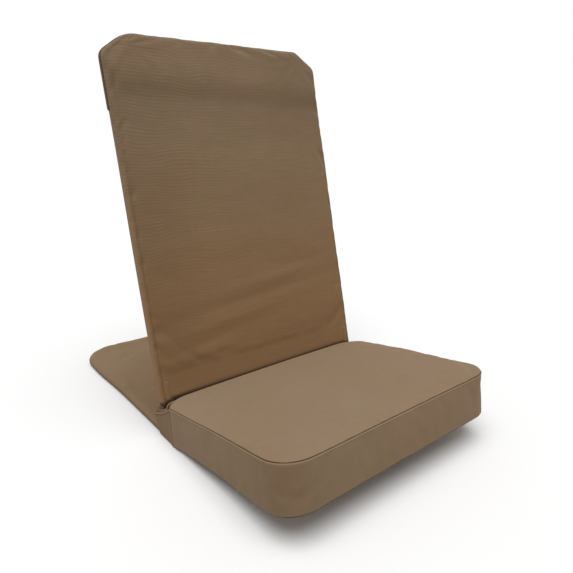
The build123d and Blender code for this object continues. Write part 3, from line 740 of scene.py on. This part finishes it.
def make_tail():
    top = spread(coons(*tail_sides(TAIL_INSET)))
    rings = []
    for inset, height in TAIL_SHELL:
        ring = spread(ring_of(tail_sides(inset * MM)))
        rings.append(with_height(ring, np.where(in_mouth(ring), min(height, 0.9) * MM, height * MM)))
    mouth = range(MOUTH_ROWS + 2)
    pad = {
        "front": with_height(top, tail_top(top)),
        "rings": rings,
        "rear": with_height(top, 0.0),
        "line_shade": 1.0,
        "line_depth": 0.9 * MM,
        "shrink": -0.02,
        "tone": lambda points: np.full(len(points), TAIL_SHADE),
        "held_cells": [(row, column) for row in mouth for column in range(top.shape[1])],
    }
    inflate(pad, list(range(1, len(rings) + 1)), 1.0, 1.6 * MM)
    front = pad["front"]
    by_the_rods = from_tail_edge(top) < 17 * MM
    front[..., 2] = np.where(by_the_rods, np.maximum(front[..., 2], tail_top(top)), front[..., 2])
    behind = front[MOUTH_ROWS + 1 :]
    ripple = rough(behind, (14, 9, 0, 4.1, 0.9), (30, 12, 0, 7.7, 0.35))
    behind[..., 2] += ripple * rising(from_tail_edge(behind), 12, 24)
    # seam profile: painted highlight on the ridge above, painted shade below the seam line
    seam_in = [(0.9, 0.35, -0.2), (2.0, 0.2, 0)]
    seam_out = [(0.9, 0.25, 0.1), (1.9, 0.1, 0.2)]
    add_seam(pad, TAIL_SEAM_LEVEL, seam_in, seam_out)
    covers = ["tail_cover_top", "tail_cover_bottom", "tail_pad"]
    piece = new_pad("tail_sleeve", pad, FLOOR_FRAME, canvas_tail_shaded, "base", covers)


# ---- backrest ----
HINGE_COLUMNS = [-NOTCH_WIDTH - 0.4 * MM, -NOTCH_WIDTH + 0.4 * MM, -20.5 * MM]
BACK_COLUMNS = mirrored(
    list(np.linspace(2.5 * MM, 165 * MM, 33))
    + [back_half + place for place in HINGE_COLUMNS]
    + [SLOT_INNER, SLOT_OUTER, 191.4 * MM]
)
BACK_ROWS = (
    list(np.linspace(59 * MM, SLOT_TOP, 7))
    + [NOTCH_TOP - 0.4 * MM, NOTCH_TOP + 0.4 * MM]
    + list(np.linspace(101 * MM, 570 * MM, 94))
)
SLIT_ROWS = 7                  # rows of cells from the hem to the slit's top
SLIT = 2                       # the slit's column of cells, in from each side
HOOD_LOW = BACK_LENGTH - HOOD_DEPTH
HOOD_COLUMNS = mirrored(list(np.linspace(4 * MM, 188 * MM, 24)))
HOOD_ROWS = [HOOD_LOW + step * MM for step in (2.5, 5, 7.2, 8, 8.8, 12)] + list(
    np.linspace(HOOD_LOW + 17 * MM, 570 * MM, 12)
)
CUT_ROWS = 6                   # rows round each half of a cut corner
LEFT_TOP_RADIUS = 52 * MM      # the left cut corner runs softly into the top edge


def corner_cut(inset):
    """How far a top corner's cut reaches across and down on an outline set in all round."""
    diagonal = math.hypot(BACK_CORNER_ACROSS, BACK_CORNER_DOWN)
    across = BACK_CORNER_ACROSS - inset * (1 - (diagonal - BACK_CORNER_ACROSS) / BACK_CORNER_DOWN)
    down = BACK_CORNER_DOWN - inset * (1 - (diagonal - BACK_CORNER_DOWN) / BACK_CORNER_ACROSS)
    return across, down


def panel_sides(inset, hem, column_places, row_places):
    """The panel's outline from its hem up, with the given places of columns and rows."""
    half = back_half - inset
    top = BACK_LENGTH - inset
    across, down = corner_cut(inset)
    right_side = [(half, hem), (half, top - down), (half - across, top)]
    corners = [(-half, hem)] + right_side + [(-half + across, top), (-half, top - down)]
    small = 0.5 * MM
    radius = BACK_CORNER_RADIUS - inset
    middle_of_cut = (half - across / 2, top - down / 2)
    marks = corners[:2] + [middle_of_cut, (-half + across / 2, top - down / 2)]
    path = rounded(corners, [small, small, radius, radius, LEFT_TOP_RADIUS - inset, radius])
    _, right, high, left = split_at(path, marks)
    columns = np.array([-half] + column_places + [half])
    low = np.stack([columns, np.full(len(columns), hem)], 1)
    rows = np.array([hem] + row_places)
    right, left = [climb(side, side[0, 0], rows, CUT_ROWS) for side in (right, left[::-1])]
    return [low, right, evenly(high, len(columns) - 1)[::-1], left]


def back_sides(inset, hem_inset=0.0):
    return panel_sides(inset, BACK_HEM + hem_inset, BACK_COLUMNS, BACK_ROWS)


def back_grid(inset, hem_inset):
    """The panel's grid, upright where the hinge's notch and slit are."""
    sides = back_sides(inset, hem_inset)
    grid = coons(*sides)
    share = rising(grid[..., 1:2], 110, 300)
    upright = np.broadcast_to(sides[0][None, :, 0:1], share.shape)
    across = upright * (1 - share) + grid[..., 0:1] * share
    grid[:, 1:-1, 0:1] = across[:, 1:-1]
    rows = [sides[0][0, 1]] + [row for row in BACK_ROWS if row < 110 * MM]
    grid[: len(rows) - 1, :, 1] = np.array(rows[:-1])[:, None]
    return grid


def leaned_in(points):
    """The left edge runs a little inwards towards the top."""
    moved = points.copy()
    x, y = points[..., 0], points[..., 1]
    side = rising(-x, 120, 70)
    moved[..., 0] = x + 0.95 * MM * side * rising(y, 250, 210)
    return moved


# height, size and width in mm, slant, then middle and reach in mm
LOW_FOLDS = [
    (212, 1.0, 9, 0.10, 40, 130),
    (190, -1.1, 8, 0.08, 10, 150),
    (168, 1.0, 7, 0.10, -70, 90),
    (150, -0.9, 7, 0.13, -100, 80),
    (126, 0.8, 7, 0.06, -120, 60),
    (112, -0.7, 6, 0.03, 60, 120),
    (236, -0.7, 12, -0.04, 90, 90),
    (285, 0.7, 24, 0.05, -40, 160),
    (395, 0.8, 40, -0.06, 60, 140),
    (455, -0.7, 16, -0.04, 110, 80),
]


def folds(points):
    """How far the front fabric stands out: a sunk band across, soft folds, gathers at the corners."""
    x, y = points[..., 0], points[..., 1]
    band = 512 * MM - 0.03 * x
    out = -1.8 * MM * bell(y - band, 15)
    out += 1.0 * MM * bell(y - band - 36 * MM, 20)
    for height, size, width, slant, middle, reach in LOW_FOLDS:
        line = height * MM + slant * x
        out += size * MM * bell(x - middle * MM, reach) * bell(y - line, width)
    for side in (-1, 1):
        from_x = side * x - (back_half - BACK_CORNER_ACROSS)
        from_y = y - (BACK_LENGTH - BACK_CORNER_DOWN * 0.7)
        away = np.hypot(from_x, from_y)
        angle = np.arctan2(from_y, from_x)
        gathers = np.sin(angle * 11 + 1.3 * side) + 0.5 * np.sin(angle * 19 + 0.4)
        out += 0.55 * MM * gathers * bell(away - 14 * MM, 34) * rising(away, 0, 10)
    return out


def front_shade(points):
    """Painted shade: the crease at the seat, lower beside its corners; the left, top right and sunk band."""
    x, y = points[..., 0], points[..., 1]
    line = 66.8 * MM - 4.5 * MM * rising(np.abs(x), 160, 30)
    crease = 0.95 * (1 - rising(y - line, 0, 3.5))
    band = bell(y - 508 * MM + 0.03 * x, 26)
    left = rising(-x, 60, 120) * rising(y, 60, 60)
    left = left * (1 - 0.6 * rising(y, 400, 90))
    right_top = rising(x, 40, 120) * rising(y, 440, 120)
    return np.maximum(crease, 0.16 * band + 0.13 * left + 0.08 * right_top)


def back_foot_shade(points):
    """Painted shade, darker and warmer towards the foot."""
    return 1 - rising(points[:, 1], 90, 430)


BACK_ROLL = 5.8 * MM
SKIN = 0.8 * MM                # one layer of cover at the hinges
BACK_SEAM_LEVEL = 5
# level, painted shade low down and at the top: dark at the fold of the edge, then a side painted paler below
EDGE_SHADES = [(0, 0.34, 0.15), (1, 0.1, 0.12), (2, -0.05, 0.12), (3, -0.2, 0.1), (4, -0.25, 0.08)]


def back_levels():
    """Front to rear: side inset, hem inset and depth, then inset and depth beside a hinge."""
    levels = []
    for degrees in (30, 60, 90):
        set_in = 1 - math.sin(math.radians(degrees))
        depth = BACK_ROLL * (1 - math.cos(math.radians(degrees)))
        levels.append((BACK_ROLL * set_in, 1.5 * MM * set_in, depth, BACK_ROLL * set_in, depth))
    turn = (BACK_ROLL - (BACK_ROLL - SKIN) * math.sqrt(0.5)) / MM
    rest = [
        (0, 0, 8.6, 0, 8.6),
        (0, 0, 11.5, 0, 11.5),
        (0.8, 0.3, 13.6, 0, 13.6),
        (2.4, 0.8, 14.9, 0.15, 15.2),
        (3.2, 0.9, 15.15, 0.65, 15.2),
        (3.9, 1.0, 15.25, 0.8, 12.0),
        (4.6, 1.1, 15.3, 0.8, 5.8),
        (5.2, 1.2, 15.35, turn, turn),
    ]
    return levels + [tuple(value * MM for value in level) for level in rest]


def back_rings():
    rings = []
    columns = len(BACK_COLUMNS) + 1
    for inset, hem_inset, depth, hinge_inset, hinge_depth in back_levels():
        plain = ring_of(back_sides(inset, hem_inset))
        low = plain[:, 1] < NOTCH_TOP
        on_hem = np.zeros(len(plain), bool)
        on_hem[1:columns] = True
        thin = low & on_hem & (np.abs(plain[:, 0]) > back_half - NOTCH_WIDTH)
        wall = low & ~on_hem
        ring = np.where(wall[:, None], ring_of(back_sides(hinge_inset)), plain)
        height = np.where(wall, hinge_depth, depth)
        height = np.where(thin, depth / BACK_THICKNESS * SKIN, height)
        rings.append(with_height(leaned_in(ring), -height))
    return rings


def edge_shades(surface_shade, rings):
    """Shade of the back's first levels: EDGE_SHADES by height, and dark at the hem."""
    hem = edge_of(surface_shade)
    shade = {}
    for level, low, high in EDGE_SHADES:
        value = np.interp(rings[max(level - 1, 0)][:, 1], [350 * MM, 470 * MM], [low, high])
        shade[level] = np.maximum(value, hem) if level == 0 else np.where(hem > 0.5, 0.9, value)
    return shade


def make_back():
    front = leaned_in(back_grid(BACK_ROLL, 1.5 * MM))
    hinge = (np.abs(front[..., 0]) > back_half - NOTCH_WIDTH) & (front[..., 1] < NOTCH_TOP)
    columns = front.shape[1] - 1
    low_rows = len([row for row in BACK_ROWS if row < 104 * MM]) + 1
    pad = {
        "front": with_height(front, 0.0),
        "rings": back_rings(),
        "rear": with_height(front, -np.where(hinge, SKIN, BACK_THICKNESS)),
        "gone": {(row, column) for row in range(SLIT_ROWS) for column in (SLIT, columns - 1 - SLIT)},
        "line_shade": 0.85,
        "line_depth": 1.1 * MM,
        "shrink": -0.008,
        "tone": back_foot_shade,
        "held_cells": [(row, column) for row in range(low_rows) for column in range(columns + 1)],
    }
    inflate(pad, list(range(3, len(pad["rings"]) + 1)), 1.2, 1.8 * MM)
    surface = pad["front"]
    share = rising(surface[..., 1] - NOTCH_TOP, 0, 20)
    surface[..., 2] += folds(surface) * share
    upper = surface[low_rows:]
    ripple = rough(upper, (7, 16, 0, 2.2, 0.8), (18, 40, 0, 6.1, 0.25))
    from_side = np.minimum(1.0, (back_half - np.abs(upper[..., 0])) / (40 * MM))
    upper[..., 2] += ripple * share[low_rows:] * from_side
    pad["front_shade"] = front_shade(surface)
    # painted shade: a dark line where the front rolls over at the sides
    pad["front_shade"][:, [1, -2]] += 0.06
    pad["shade"] = edge_shades(pad["front_shade"], pad["rings"])
    # seam profile: painted highlight on the ridges beside the dark seam line
    seam_in = [(0.9, 0.45, -0.45), (2.0, 0.3, -0.15)]
    seam_out = [(0.9, 0.5, -0.45), (1.7, 0.3, -0.15)]
    add_seam(pad, BACK_SEAM_LEVEL, seam_in, seam_out)
    covers = ["back_cover_front", "back_cover_rear", "back_foam"]
    piece = new_pad("back_pad", pad, PANEL_FRAME, canvas_back_shaded, "backrest", covers)


LIP_LOW = 54.6 * MM
LIP_TOP = 91.5 * MM


def make_slit_lips():
    """A thin fabric lip closes each slit of the hinge."""
    for side, name in ((-1, "slit_lip_left"), (1, "slit_lip_right")):
        across = np.sort(np.linspace(SLOT_INNER - 0.8 * MM, SLOT_OUTER + 0.9 * MM, 7) * side)
        grid = np.stack(np.meshgrid(across, np.linspace(LIP_LOW, LIP_TOP, 19)), -1)
        from_edge = np.abs(grid[..., 0] * side - (SLOT_INNER + SLOT_OUTER) / 2) / (3.35 * MM)
        soft = 0.2 * MM + 1.6 * MM * (1 - rising(grid[..., 1], 56, 9))
        pad = {
            "front": with_height(grid, 0.03 * MM + soft * (1 - np.clip(from_edge, 0, 1) ** 4)),
            "rings": [],
            "rear": with_height(grid, -0.05 * MM),
            "front_shade": front_shade(grid),
            "tone": back_foot_shade,
        }
        piece = new_pad(name, pad, PANEL_FRAME, canvas_back_shaded, "backrest", subdivision=0)
        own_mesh(piece)


# ---- hood over the top of the rear panel ----
# inset and depth in mm, and painted shade of the hem and side, from the inside round the hem to the outside
HOOD_PROFILE = [
    (-0.15, 15.3, 0.7),
    (-0.15, 12.0, 0.7),
    (-0.15, 8.7, 0.8),
    (-0.5, 8.0, 0.9),
    (-1.0, 8.2, 0.8),
    (-1.25, 9.5, 0.6),
    (-1.3, 13.0, 0.55),
    (-1.0, 15.7, 0.35),
    (-0.2, 16.4, 0.0),
]
HOOD_INNER = 15.62 * MM
HOOD_OUTER = 16.6 * MM
HEM_LINE = HOOD_LOW + 8 * MM


def hood_point(points, depth):
    """The hood's shape: leaned in at the left, its hem lower at the sides and cut on a slant."""
    x, y = points[..., 0], points[..., 1]
    dip = 13 * MM + 5 * MM * (HOOD_OUTER - depth) / (8.6 * MM)
    moved = leaned_in(points)
    at_side = rising(np.abs(x), 120, 78)
    moved[..., 1] -= dip * at_side * (1 - rising(y - HOOD_LOW, 6, 50))
    return with_height(moved, -depth)


def hood_sides(inset):
    return panel_sides(inset, HOOD_LOW, HOOD_COLUMNS, HOOD_ROWS)


def make_hood():
    inner = hood_point(coons(*hood_sides(1.0 * MM)), HOOD_INNER)
    plan = coons(*hood_sides(1.6 * MM))
    outer = hood_point(plan, HOOD_OUTER)
    y = plan[..., 1]
    outer[..., 2] += 0.35 * MM * bell(y - HEM_LINE, 0.7)
    outer[..., 2] -= 0.2 * MM * (y < HEM_LINE - 1 * MM)
    ripple = rough(with_height(plan, 0.0)[1:-1, 1:-1], (12, 14, 0, 3.3, 1.2))
    outer[1:-1, 1:-1, 2] += np.minimum(0.0, ripple - 0.12 * MM)
    rings = []
    for level, (inset, depth, _) in enumerate(HOOD_PROFILE):
        ring = ring_of(hood_sides(inset * MM))
        depths = np.full(len(ring), depth * MM)
        share = (level + 1) / (len(HOOD_PROFILE) + 1)
        depths[1 : len(HOOD_COLUMNS) + 1] = HOOD_INNER + share * (HOOD_OUTER - HOOD_INNER)
        rings.append(hood_point(ring, depths))
    shade = {level + 1: entry[2] for level, entry in enumerate(HOOD_PROFILE)}
    pad = {"front": inner, "rings": rings, "rear": outer, "shade": shade}
    new_pad("hood", pad, PANEL_FRAME, canvas, "backrest", ["back_hood"])
    row = np.array([(x, HEM_LINE) for x in np.linspace(-186 * MM, 186 * MM, 400)])
    path = hood_point(row, np.full(len(row), HOOD_OUTER + 0.05 * MM))
    make_stitches("hood_stitches", path, (0, 0, -1))


STITCH_PITCH = 3.4 * MM
STITCH_LENGTH = 2.5 * MM
STITCH_RADIUS = 0.3 * MM
STITCH_RISE = [(0.0, -1.2), (0.25, 0.7), (0.75, 0.7), (1.0, -1.2)]  # along a stitch, and in its radii


def new_tubes(name, tubes, matrix, material, body):
    """The object of many closed tubes. A tube has its rings of points, and whether it is mirrored."""
    points, faces = [], []
    for rings, mirror in tubes:
        first, around = len(points), len(rings[0])
        points += [point for ring in rings for point in ring]
        made = []
        for a in range(first, first + (len(rings) - 1) * around, around):
            for j in range(around):
                k = (j + 1) % around
                made.append([a + j, a + k, a + around + k, a + around + j])
        made += [list(range(first, first + around))[::-1], list(range(len(points) - around, len(points)))]
        faces += [face[::-1] for face in made] if mirror else made
    mesh = plain_mesh(name, points, faces)
    mesh.polygons.foreach_set("use_smooth", [True] * len(faces))
    finish_piece(new_object(name, mesh, matrix), material, body)


def make_stitches(name, path, normal):
    """A row of short bent threads along a path of the backrest."""
    steps = run_of(path)
    angles = 2 * math.pi * np.arange(5) / 5
    tubes = []
    for number in range(int(steps[-1] / STITCH_PITCH)):
        rings = []
        for share, rise in STITCH_RISE:
            run = number * STITCH_PITCH + STITCH_LENGTH * share
            at, next_to = np.array([np.interp([run, run + 0.1 * MM], steps, path[:, k]) for k in range(3)]).T
            beside = np.cross((next_to - at) / np.linalg.norm(next_to - at), normal)
            ring = np.outer(np.cos(angles), beside) + np.outer(np.sin(angles), normal)
            rings.append(at + (np.array(normal) * rise + ring) * STITCH_RADIUS)
        tubes.append((rings, False))
    new_tubes(name, tubes, PANEL_FRAME, thread_material, "backrest")


# ---- flaps over the hinge, and gussets ----
FLAP_FRONT = -22.5 * MM
FLAP_OUTER = 199.2 * MM
FLAP_LAP = 1.0 * MM
FLAP_TOP_LINE = ([-23, -10, 0, 12, 32, 38], [60.5, 54.5, 49.6, 45.2, 40.6, 39.0])  # y and height, mm
FLAP_CURL = 5.0 * MM           # how far the flap's top is turned in under the backrest
FLAP_CURL_LINE = ([-12, 0, 3, 8, 14, 28], [54.5, 54.3, 53.0, 51.2, 50.6, 50.4])  # y and height, mm
FLAP_HEM_HEIGHT = 4.6 * MM
# drop below the top and rise in mm, and shade: a dark seam with painted shade, negative for painted
# highlight
FLAP_HEM = [(4.6, 0.0, 0.0), (3.9, -0.5, 0.8), (3.2, 0.15, 0.0), (1.8, 0.45, -0.3), (0.5, 0.2, -0.45)]


def new_sheet(name, side, rows, flat, nodes=()):
    """A sheet of cloth from rows of outer points, inner points and shade; side mirrors it."""
    front, rear, shade = [np.array(part) for part in zip(*rows)]
    front[..., 0] *= side
    rear[..., 0] *= side
    if side < 0:
        front, rear, shade = front[:, ::-1], rear[:, ::-1], shade[:, ::-1]
    pad = {"front": front, "rings": [], "rear": rear, "front_shade": shade, "flat": flat}
    new_pad(name, pad, SEAT_FRAME, canvas_boxing_shaded, "base", nodes)


def boxing_x(y, z):
    """How far out the cushion's side lies at a place by its rear corner."""
    radius = SEAT_REAR_RADIUS + REAR_SOFTER * z / SEAT_THICKNESS
    reach = np.clip(y + radius + REAR_GAP - z * math.tan(BACK_LEAN), 0, 0.99 * radius)
    share = 1 - ((y + SEAT_DEPTH / 2) / (SEAT_DEPTH / 2)) ** 2
    x = seat_half - 0.3 * MM - radius + np.sqrt(radius**2 - reach**2)
    return x + corner_out(x, y) - SEAT_PULL_IN * share


def flap_row(side, share, up, hem=None, turned=0.0):
    """One row of a flap: up its body, on its hem, or turned in at its top."""
    end = (26 + 8.5 * up**0.8) * MM
    y = FLAP_FRONT + (end - FLAP_FRONT) * share
    low = 1.2 * MM + np.maximum(0, y + BEND_AHEAD) * math.tan(SEAT_TILT)
    high = np.interp(y / MM, *FLAP_TOP_LINE) * MM
    proud, shade = 0.0, 0.0
    if hem:
        drop, rise, shade = hem
        z, proud = high - drop * MM, rise * MM
    elif turned:
        # painted shade: the turned-in top darkens where it tucks under the backrest
        shade = 0.85 if turned < 0.2 else 0.25 + 0.5 * turned**3
        top = np.maximum(high, np.interp(y / MM, *FLAP_CURL_LINE) * MM)
        top = np.minimum(top, high + 10 * MM * rising(-y, -38, 16))
        z = high + (top - high) * math.sin(turned * math.pi / 2)
    else:
        z = low + (high - FLAP_HEM_HEIGHT - low) * up
    sewn = rising(y - FLAP_FRONT, 0, 17)
    start = boxing_x(FLAP_FRONT, z) + 0.5 * MM * rising(y - FLAP_FRONT, 0, 3) - 0.25 * MM
    slack = rough(np.stack([y, z, z], 1), (30, 26, 0, 1.7 + side, 0.8))
    free = rising(y, -16, 16) * rising(z - low, 0, 12) * (1 - turned)
    outer = start + (FLAP_OUTER - start) * sewn + proud * sewn + np.maximum(-0.3 * MM, slack) * free
    curl = FLAP_CURL * (1 - math.cos(turned * math.pi / 2))
    outer = outer - curl * rising(y, -14, 10)
    inner = outer - FLAP_LAP * (0.35 + 0.65 * sewn) * (1 - 0.8 * turned)
    rear = np.stack([inner, y, z - 0.8 * MM * turned], 1)
    return np.stack([outer, y, z], 1), rear, np.full(len(y), shade)


def make_flaps():
    """Sewn to the boxing in front, hemmed at the top, slack over the hinge, its top turned in."""
    share = np.linspace(0, 1, 44)
    for side, name in ((-1, "flap_left"), (1, "flap_right")):
        rows = [flap_row(side, share, up) for up in np.linspace(0, 1, 26)[:-1]]
        rows += [flap_row(side, share, 1.0, hem=hem) for hem in FLAP_HEM]
        rows += [flap_row(side, share, 1.0, turned=turned) for turned in np.linspace(0, 1, 8)[1:]]
        new_sheet(name, side, rows, [2, 1], ["hinge_" + name])


# x and y in mm, from the boxing's rear round its corner
GUSSET_PATH = [
    (178.5, -3.6), (181.5, -2.9), (184.5, -2.4), (188, -2.6),
    (191, -3.6), (194, -5.6), (196.4, -8.6), (197.6, -12.5),
]
GUSSET_TOP = 61.5 * MM
GUSSET_DROP = 7.0 * MM         # how far the top falls towards its outer end
# drop below the top and rise in mm, and shade: a dark seam with painted shade, negative for painted
# highlight
GUSSET_HEM = [
    (5.2, 0.0, 0.0), (4.4, -0.5, 0.9), (3.4, 0.3, 0.0), (2.0, 0.75, -0.4), (0.7, 0.5, -0.3), (0.0, -0.2, 0.1)
]


def make_gussets():
    """A soft gusset stands behind each rear corner of the cushion and closes the hinge's front."""
    plan = evenly(np.array(GUSSET_PATH) * MM, 22)
    along = np.gradient(plan, axis=0)
    along /= np.linalg.norm(along, axis=1, keepdims=True)
    out = np.stack([along[:, 1], -along[:, 0]], 1)
    share = np.linspace(0, 1, len(plan))
    levels = [(z, 0.0, 0.0) for z in np.linspace(3 * MM, GUSSET_TOP - 6 * MM, 16)]
    levels += [(GUSSET_TOP - drop * MM, rise * MM, shade) for drop, rise, shade in GUSSET_HEM]
    for side, name in ((-1, "gusset_left"), (1, "gusset_right")):
        rows = []
        for z, rise, shade in levels:
            lean = np.array([0, z * math.tan(BACK_LEAN)]) * min(1.0, z / (40 * MM)) * 0.6
            ripple = rough(with_height(plan, z)[:, [0, 2, 1]], (60, 22, 0, 4.4 + side, 0.7))
            sag = 0.8 * MM * math.sin(3.1 * z / GUSSET_TOP) * np.sin(math.pi * share)
            outer = plan + lean + out * (rise + np.minimum(ripple, 0.4 * MM) + sag)[:, None]
            inner = plan + lean + out * (sag - SKIN)[:, None]
            height = z - GUSSET_DROP * share**2 * rising(z, 30, 24)
            rows.append((with_height(outer, height), with_height(inner, height), np.full(len(plan), shade)))
        new_sheet(name, side, rows, [0, 2])


# ---- zip ----
ZIP_HEIGHT = 26 * MM
ZIP_LENGTH = 320 * MM
ZIP_TAPE = 0.8 * MM
ZIP_EDGE = 0.25 * MM           # the tape's thickness at its edges
ZIP_TAPE_ROWS = [2.6, 3.2, 6, 11.4, 12]  # from the middle of the tape, mm
ZIP_TEETH = 0.9 * MM
TOOTH_PITCH = 2.0 * MM
# from the zip's middle and half length in mm, and share of the full height
TOOTH_SHAPE = [(-0.5, 0.42, 0.75), (0.1, 0.42, 1.0), (1.9, 0.36, 0.9), (2.5, 0.26, 0.35)]


def make_zip():
    """A woven tape with a coil of teeth along its middle."""
    rear = ZIP_HEIGHT * math.tan(BACK_LEAN) - REAR_GAP
    axes = Matrix(((-1, 0, 0, 0), (0, SINE, COSINE, rear), (0, COSINE, -SINE, ZIP_HEIGHT), (0, 0, 0, 1)))
    across = np.linspace(-ZIP_LENGTH / 2, ZIP_LENGTH / 2, 60)
    grid = np.stack(np.meshgrid(across, np.array(mirrored(ZIP_TAPE_ROWS)) * MM), -1)
    rise = np.where(np.abs(grid[..., 1]) < 3 * MM, ZIP_TAPE, ZIP_TAPE - ZIP_EDGE)
    rise = np.where(np.abs(grid[..., 1]) > 11.8 * MM, ZIP_EDGE, rise)
    pad = {"front": with_height(grid, rise), "rings": [], "rear": with_height(grid, 0.02 * MM)}
    new_pad("zip_tape", pad, SEAT_FRAME @ axes, zip_plastic, "base", ["seat_zip_tape"], 0)
    angles = math.pi * np.arange(6) / 5
    bulge = np.abs(np.sin(angles)) ** 0.6
    tubes = []
    for number in range(int(ZIP_LENGTH / TOOTH_PITCH) - 1):
        for side in (-1, 1):
            x = -ZIP_LENGTH / 2 + (number + 0.75 + 0.25 * side) * TOOTH_PITCH + 0.5 * MM
            rings = []
            for y, half, top in TOOTH_SHAPE:
                level = np.stack([x + half * MM * np.cos(angles), np.full(6, y * MM * side)], 1)
                rings.append(with_height(level, ZIP_TAPE + ZIP_TEETH * top * bulge))
            tubes.append((rings, side < 0))
    new_tubes("zip_teeth", tubes, SEAT_FRAME @ axes, zip_metal, "base")


make_seat()
make_tail()
make_back()
make_slit_lips()
make_hood()
make_flaps()
make_gussets()
make_zip()

# ---- carried-over pieces ----
CAD_FINISHES = [
    (paint, ["base_frame", "hinge_cross_rod", "hinge_ear_right", "hinge_ear_left", "stop_rod"]),
    (paint, ["back_frame", "back_cross_rod", "pivot_arm_right", "pivot_arm_left"]),
    (nylon, ["pivot_bushes"]),
    (plated, ["pivot_bolts", "pivot_washers", "pivot_nuts"]),
    (zip_metal, ["seat_zip_slider", "seat_zip_pull"]),
]
for material, names in CAD_FINISHES:
    for name in names:
        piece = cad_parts[name]
        piece.data.materials.clear()
        piece.data.materials.append(material)


# ---- stage, light and camera ----
def seen_directly(nodes):
    """1 for camera, glossy and transmission rays."""
    rays = nodes.add("LightPath", {}).node.outputs
    seen = nodes.math("MAXIMUM", rays["Is Camera Ray"], rays["Is Glossy Ray"])
    return nodes.math("MAXIMUM", seen, rays["Is Transmission Ray"])


FLOOR_REACH = 14.0
FLOOR_PALE = (0.52, 0.47, 0.40)
WORLD_LEVEL = 0.37


def matt_floor(nodes):
    """White where it is seen directly, paler brown in the light that it throws back."""
    colour = nodes.mix(seen_directly(nodes), FLOOR_PALE, (1.0, 1.0, 1.0))
    return {"Base Color": colour, "Roughness": 1.0, "Specular IOR Level": 0.0}


floor_corners = [(-1, -1), (1, -1), (1, 1), (-1, 1)]
floor_points = [(x * FLOOR_REACH, y * FLOOR_REACH, 0) for x, y in floor_corners]
floor = new_object("floor", plain_mesh("floor", floor_points, [(0, 1, 2, 3)]))
floor.data.materials.append(new_material("floor", matt_floor))

scene = bpy.context.scene
scene.world = bpy.data.worlds.new("studio")
scene.world.use_nodes = True
sky = Nodes(scene.world.node_tree)
background = sky.tree.nodes["Background"]
sky.set(background.inputs["Strength"], sky.ramp(seen_directly(sky), 0, 1, WORLD_LEVEL, 1.0))
sky.set(background.inputs["Color"], (1, 1, 1))

KEY_FROM = Vector((-0.16, -0.16, 0.97))
KEY_STRENGTH = 2.1
key = bpy.data.lights.new("key", "SUN")
key.energy = KEY_STRENGTH
key.angle = math.radians(55)
key_light = bpy.data.objects.new("key", key)
scene.collection.objects.link(key_light)
key_light.rotation_euler = KEY_FROM.to_track_quat("Z", "Y").to_euler()

CAMERA_FOCAL_PX = 522.0
PHOTO_WIDTH_PX = 573
SENSOR_WIDTH = 36              # of the camera, in mm
CAMERA_AZIMUTH = math.radians(-38.43)
CAMERA_ELEVATION = math.radians(16.51)
CAMERA_FROM_BEND = Vector((-0.4872, -0.6382, 0.4485))
camera_data = bpy.data.cameras.new("camera")
camera_data.sensor_width = SENSOR_WIDTH
camera_data.lens = CAMERA_FOCAL_PX / PHOTO_WIDTH_PX * SENSOR_WIDTH
camera = bpy.data.objects.new("camera", camera_data)
scene.collection.objects.link(camera)
camera.location = CAMERA_FROM_BEND + Vector((0, bend_y, 0))
a, e = CAMERA_AZIMUTH, CAMERA_ELEVATION
backwards = Vector((math.sin(a) * math.cos(e), -math.cos(a) * math.cos(e), math.sin(e)))
camera.rotation_euler = (-backwards).to_track_quat("-Z", "Y").to_euler()
scene.camera = camera
scene.view_settings.view_transform = "Standard"
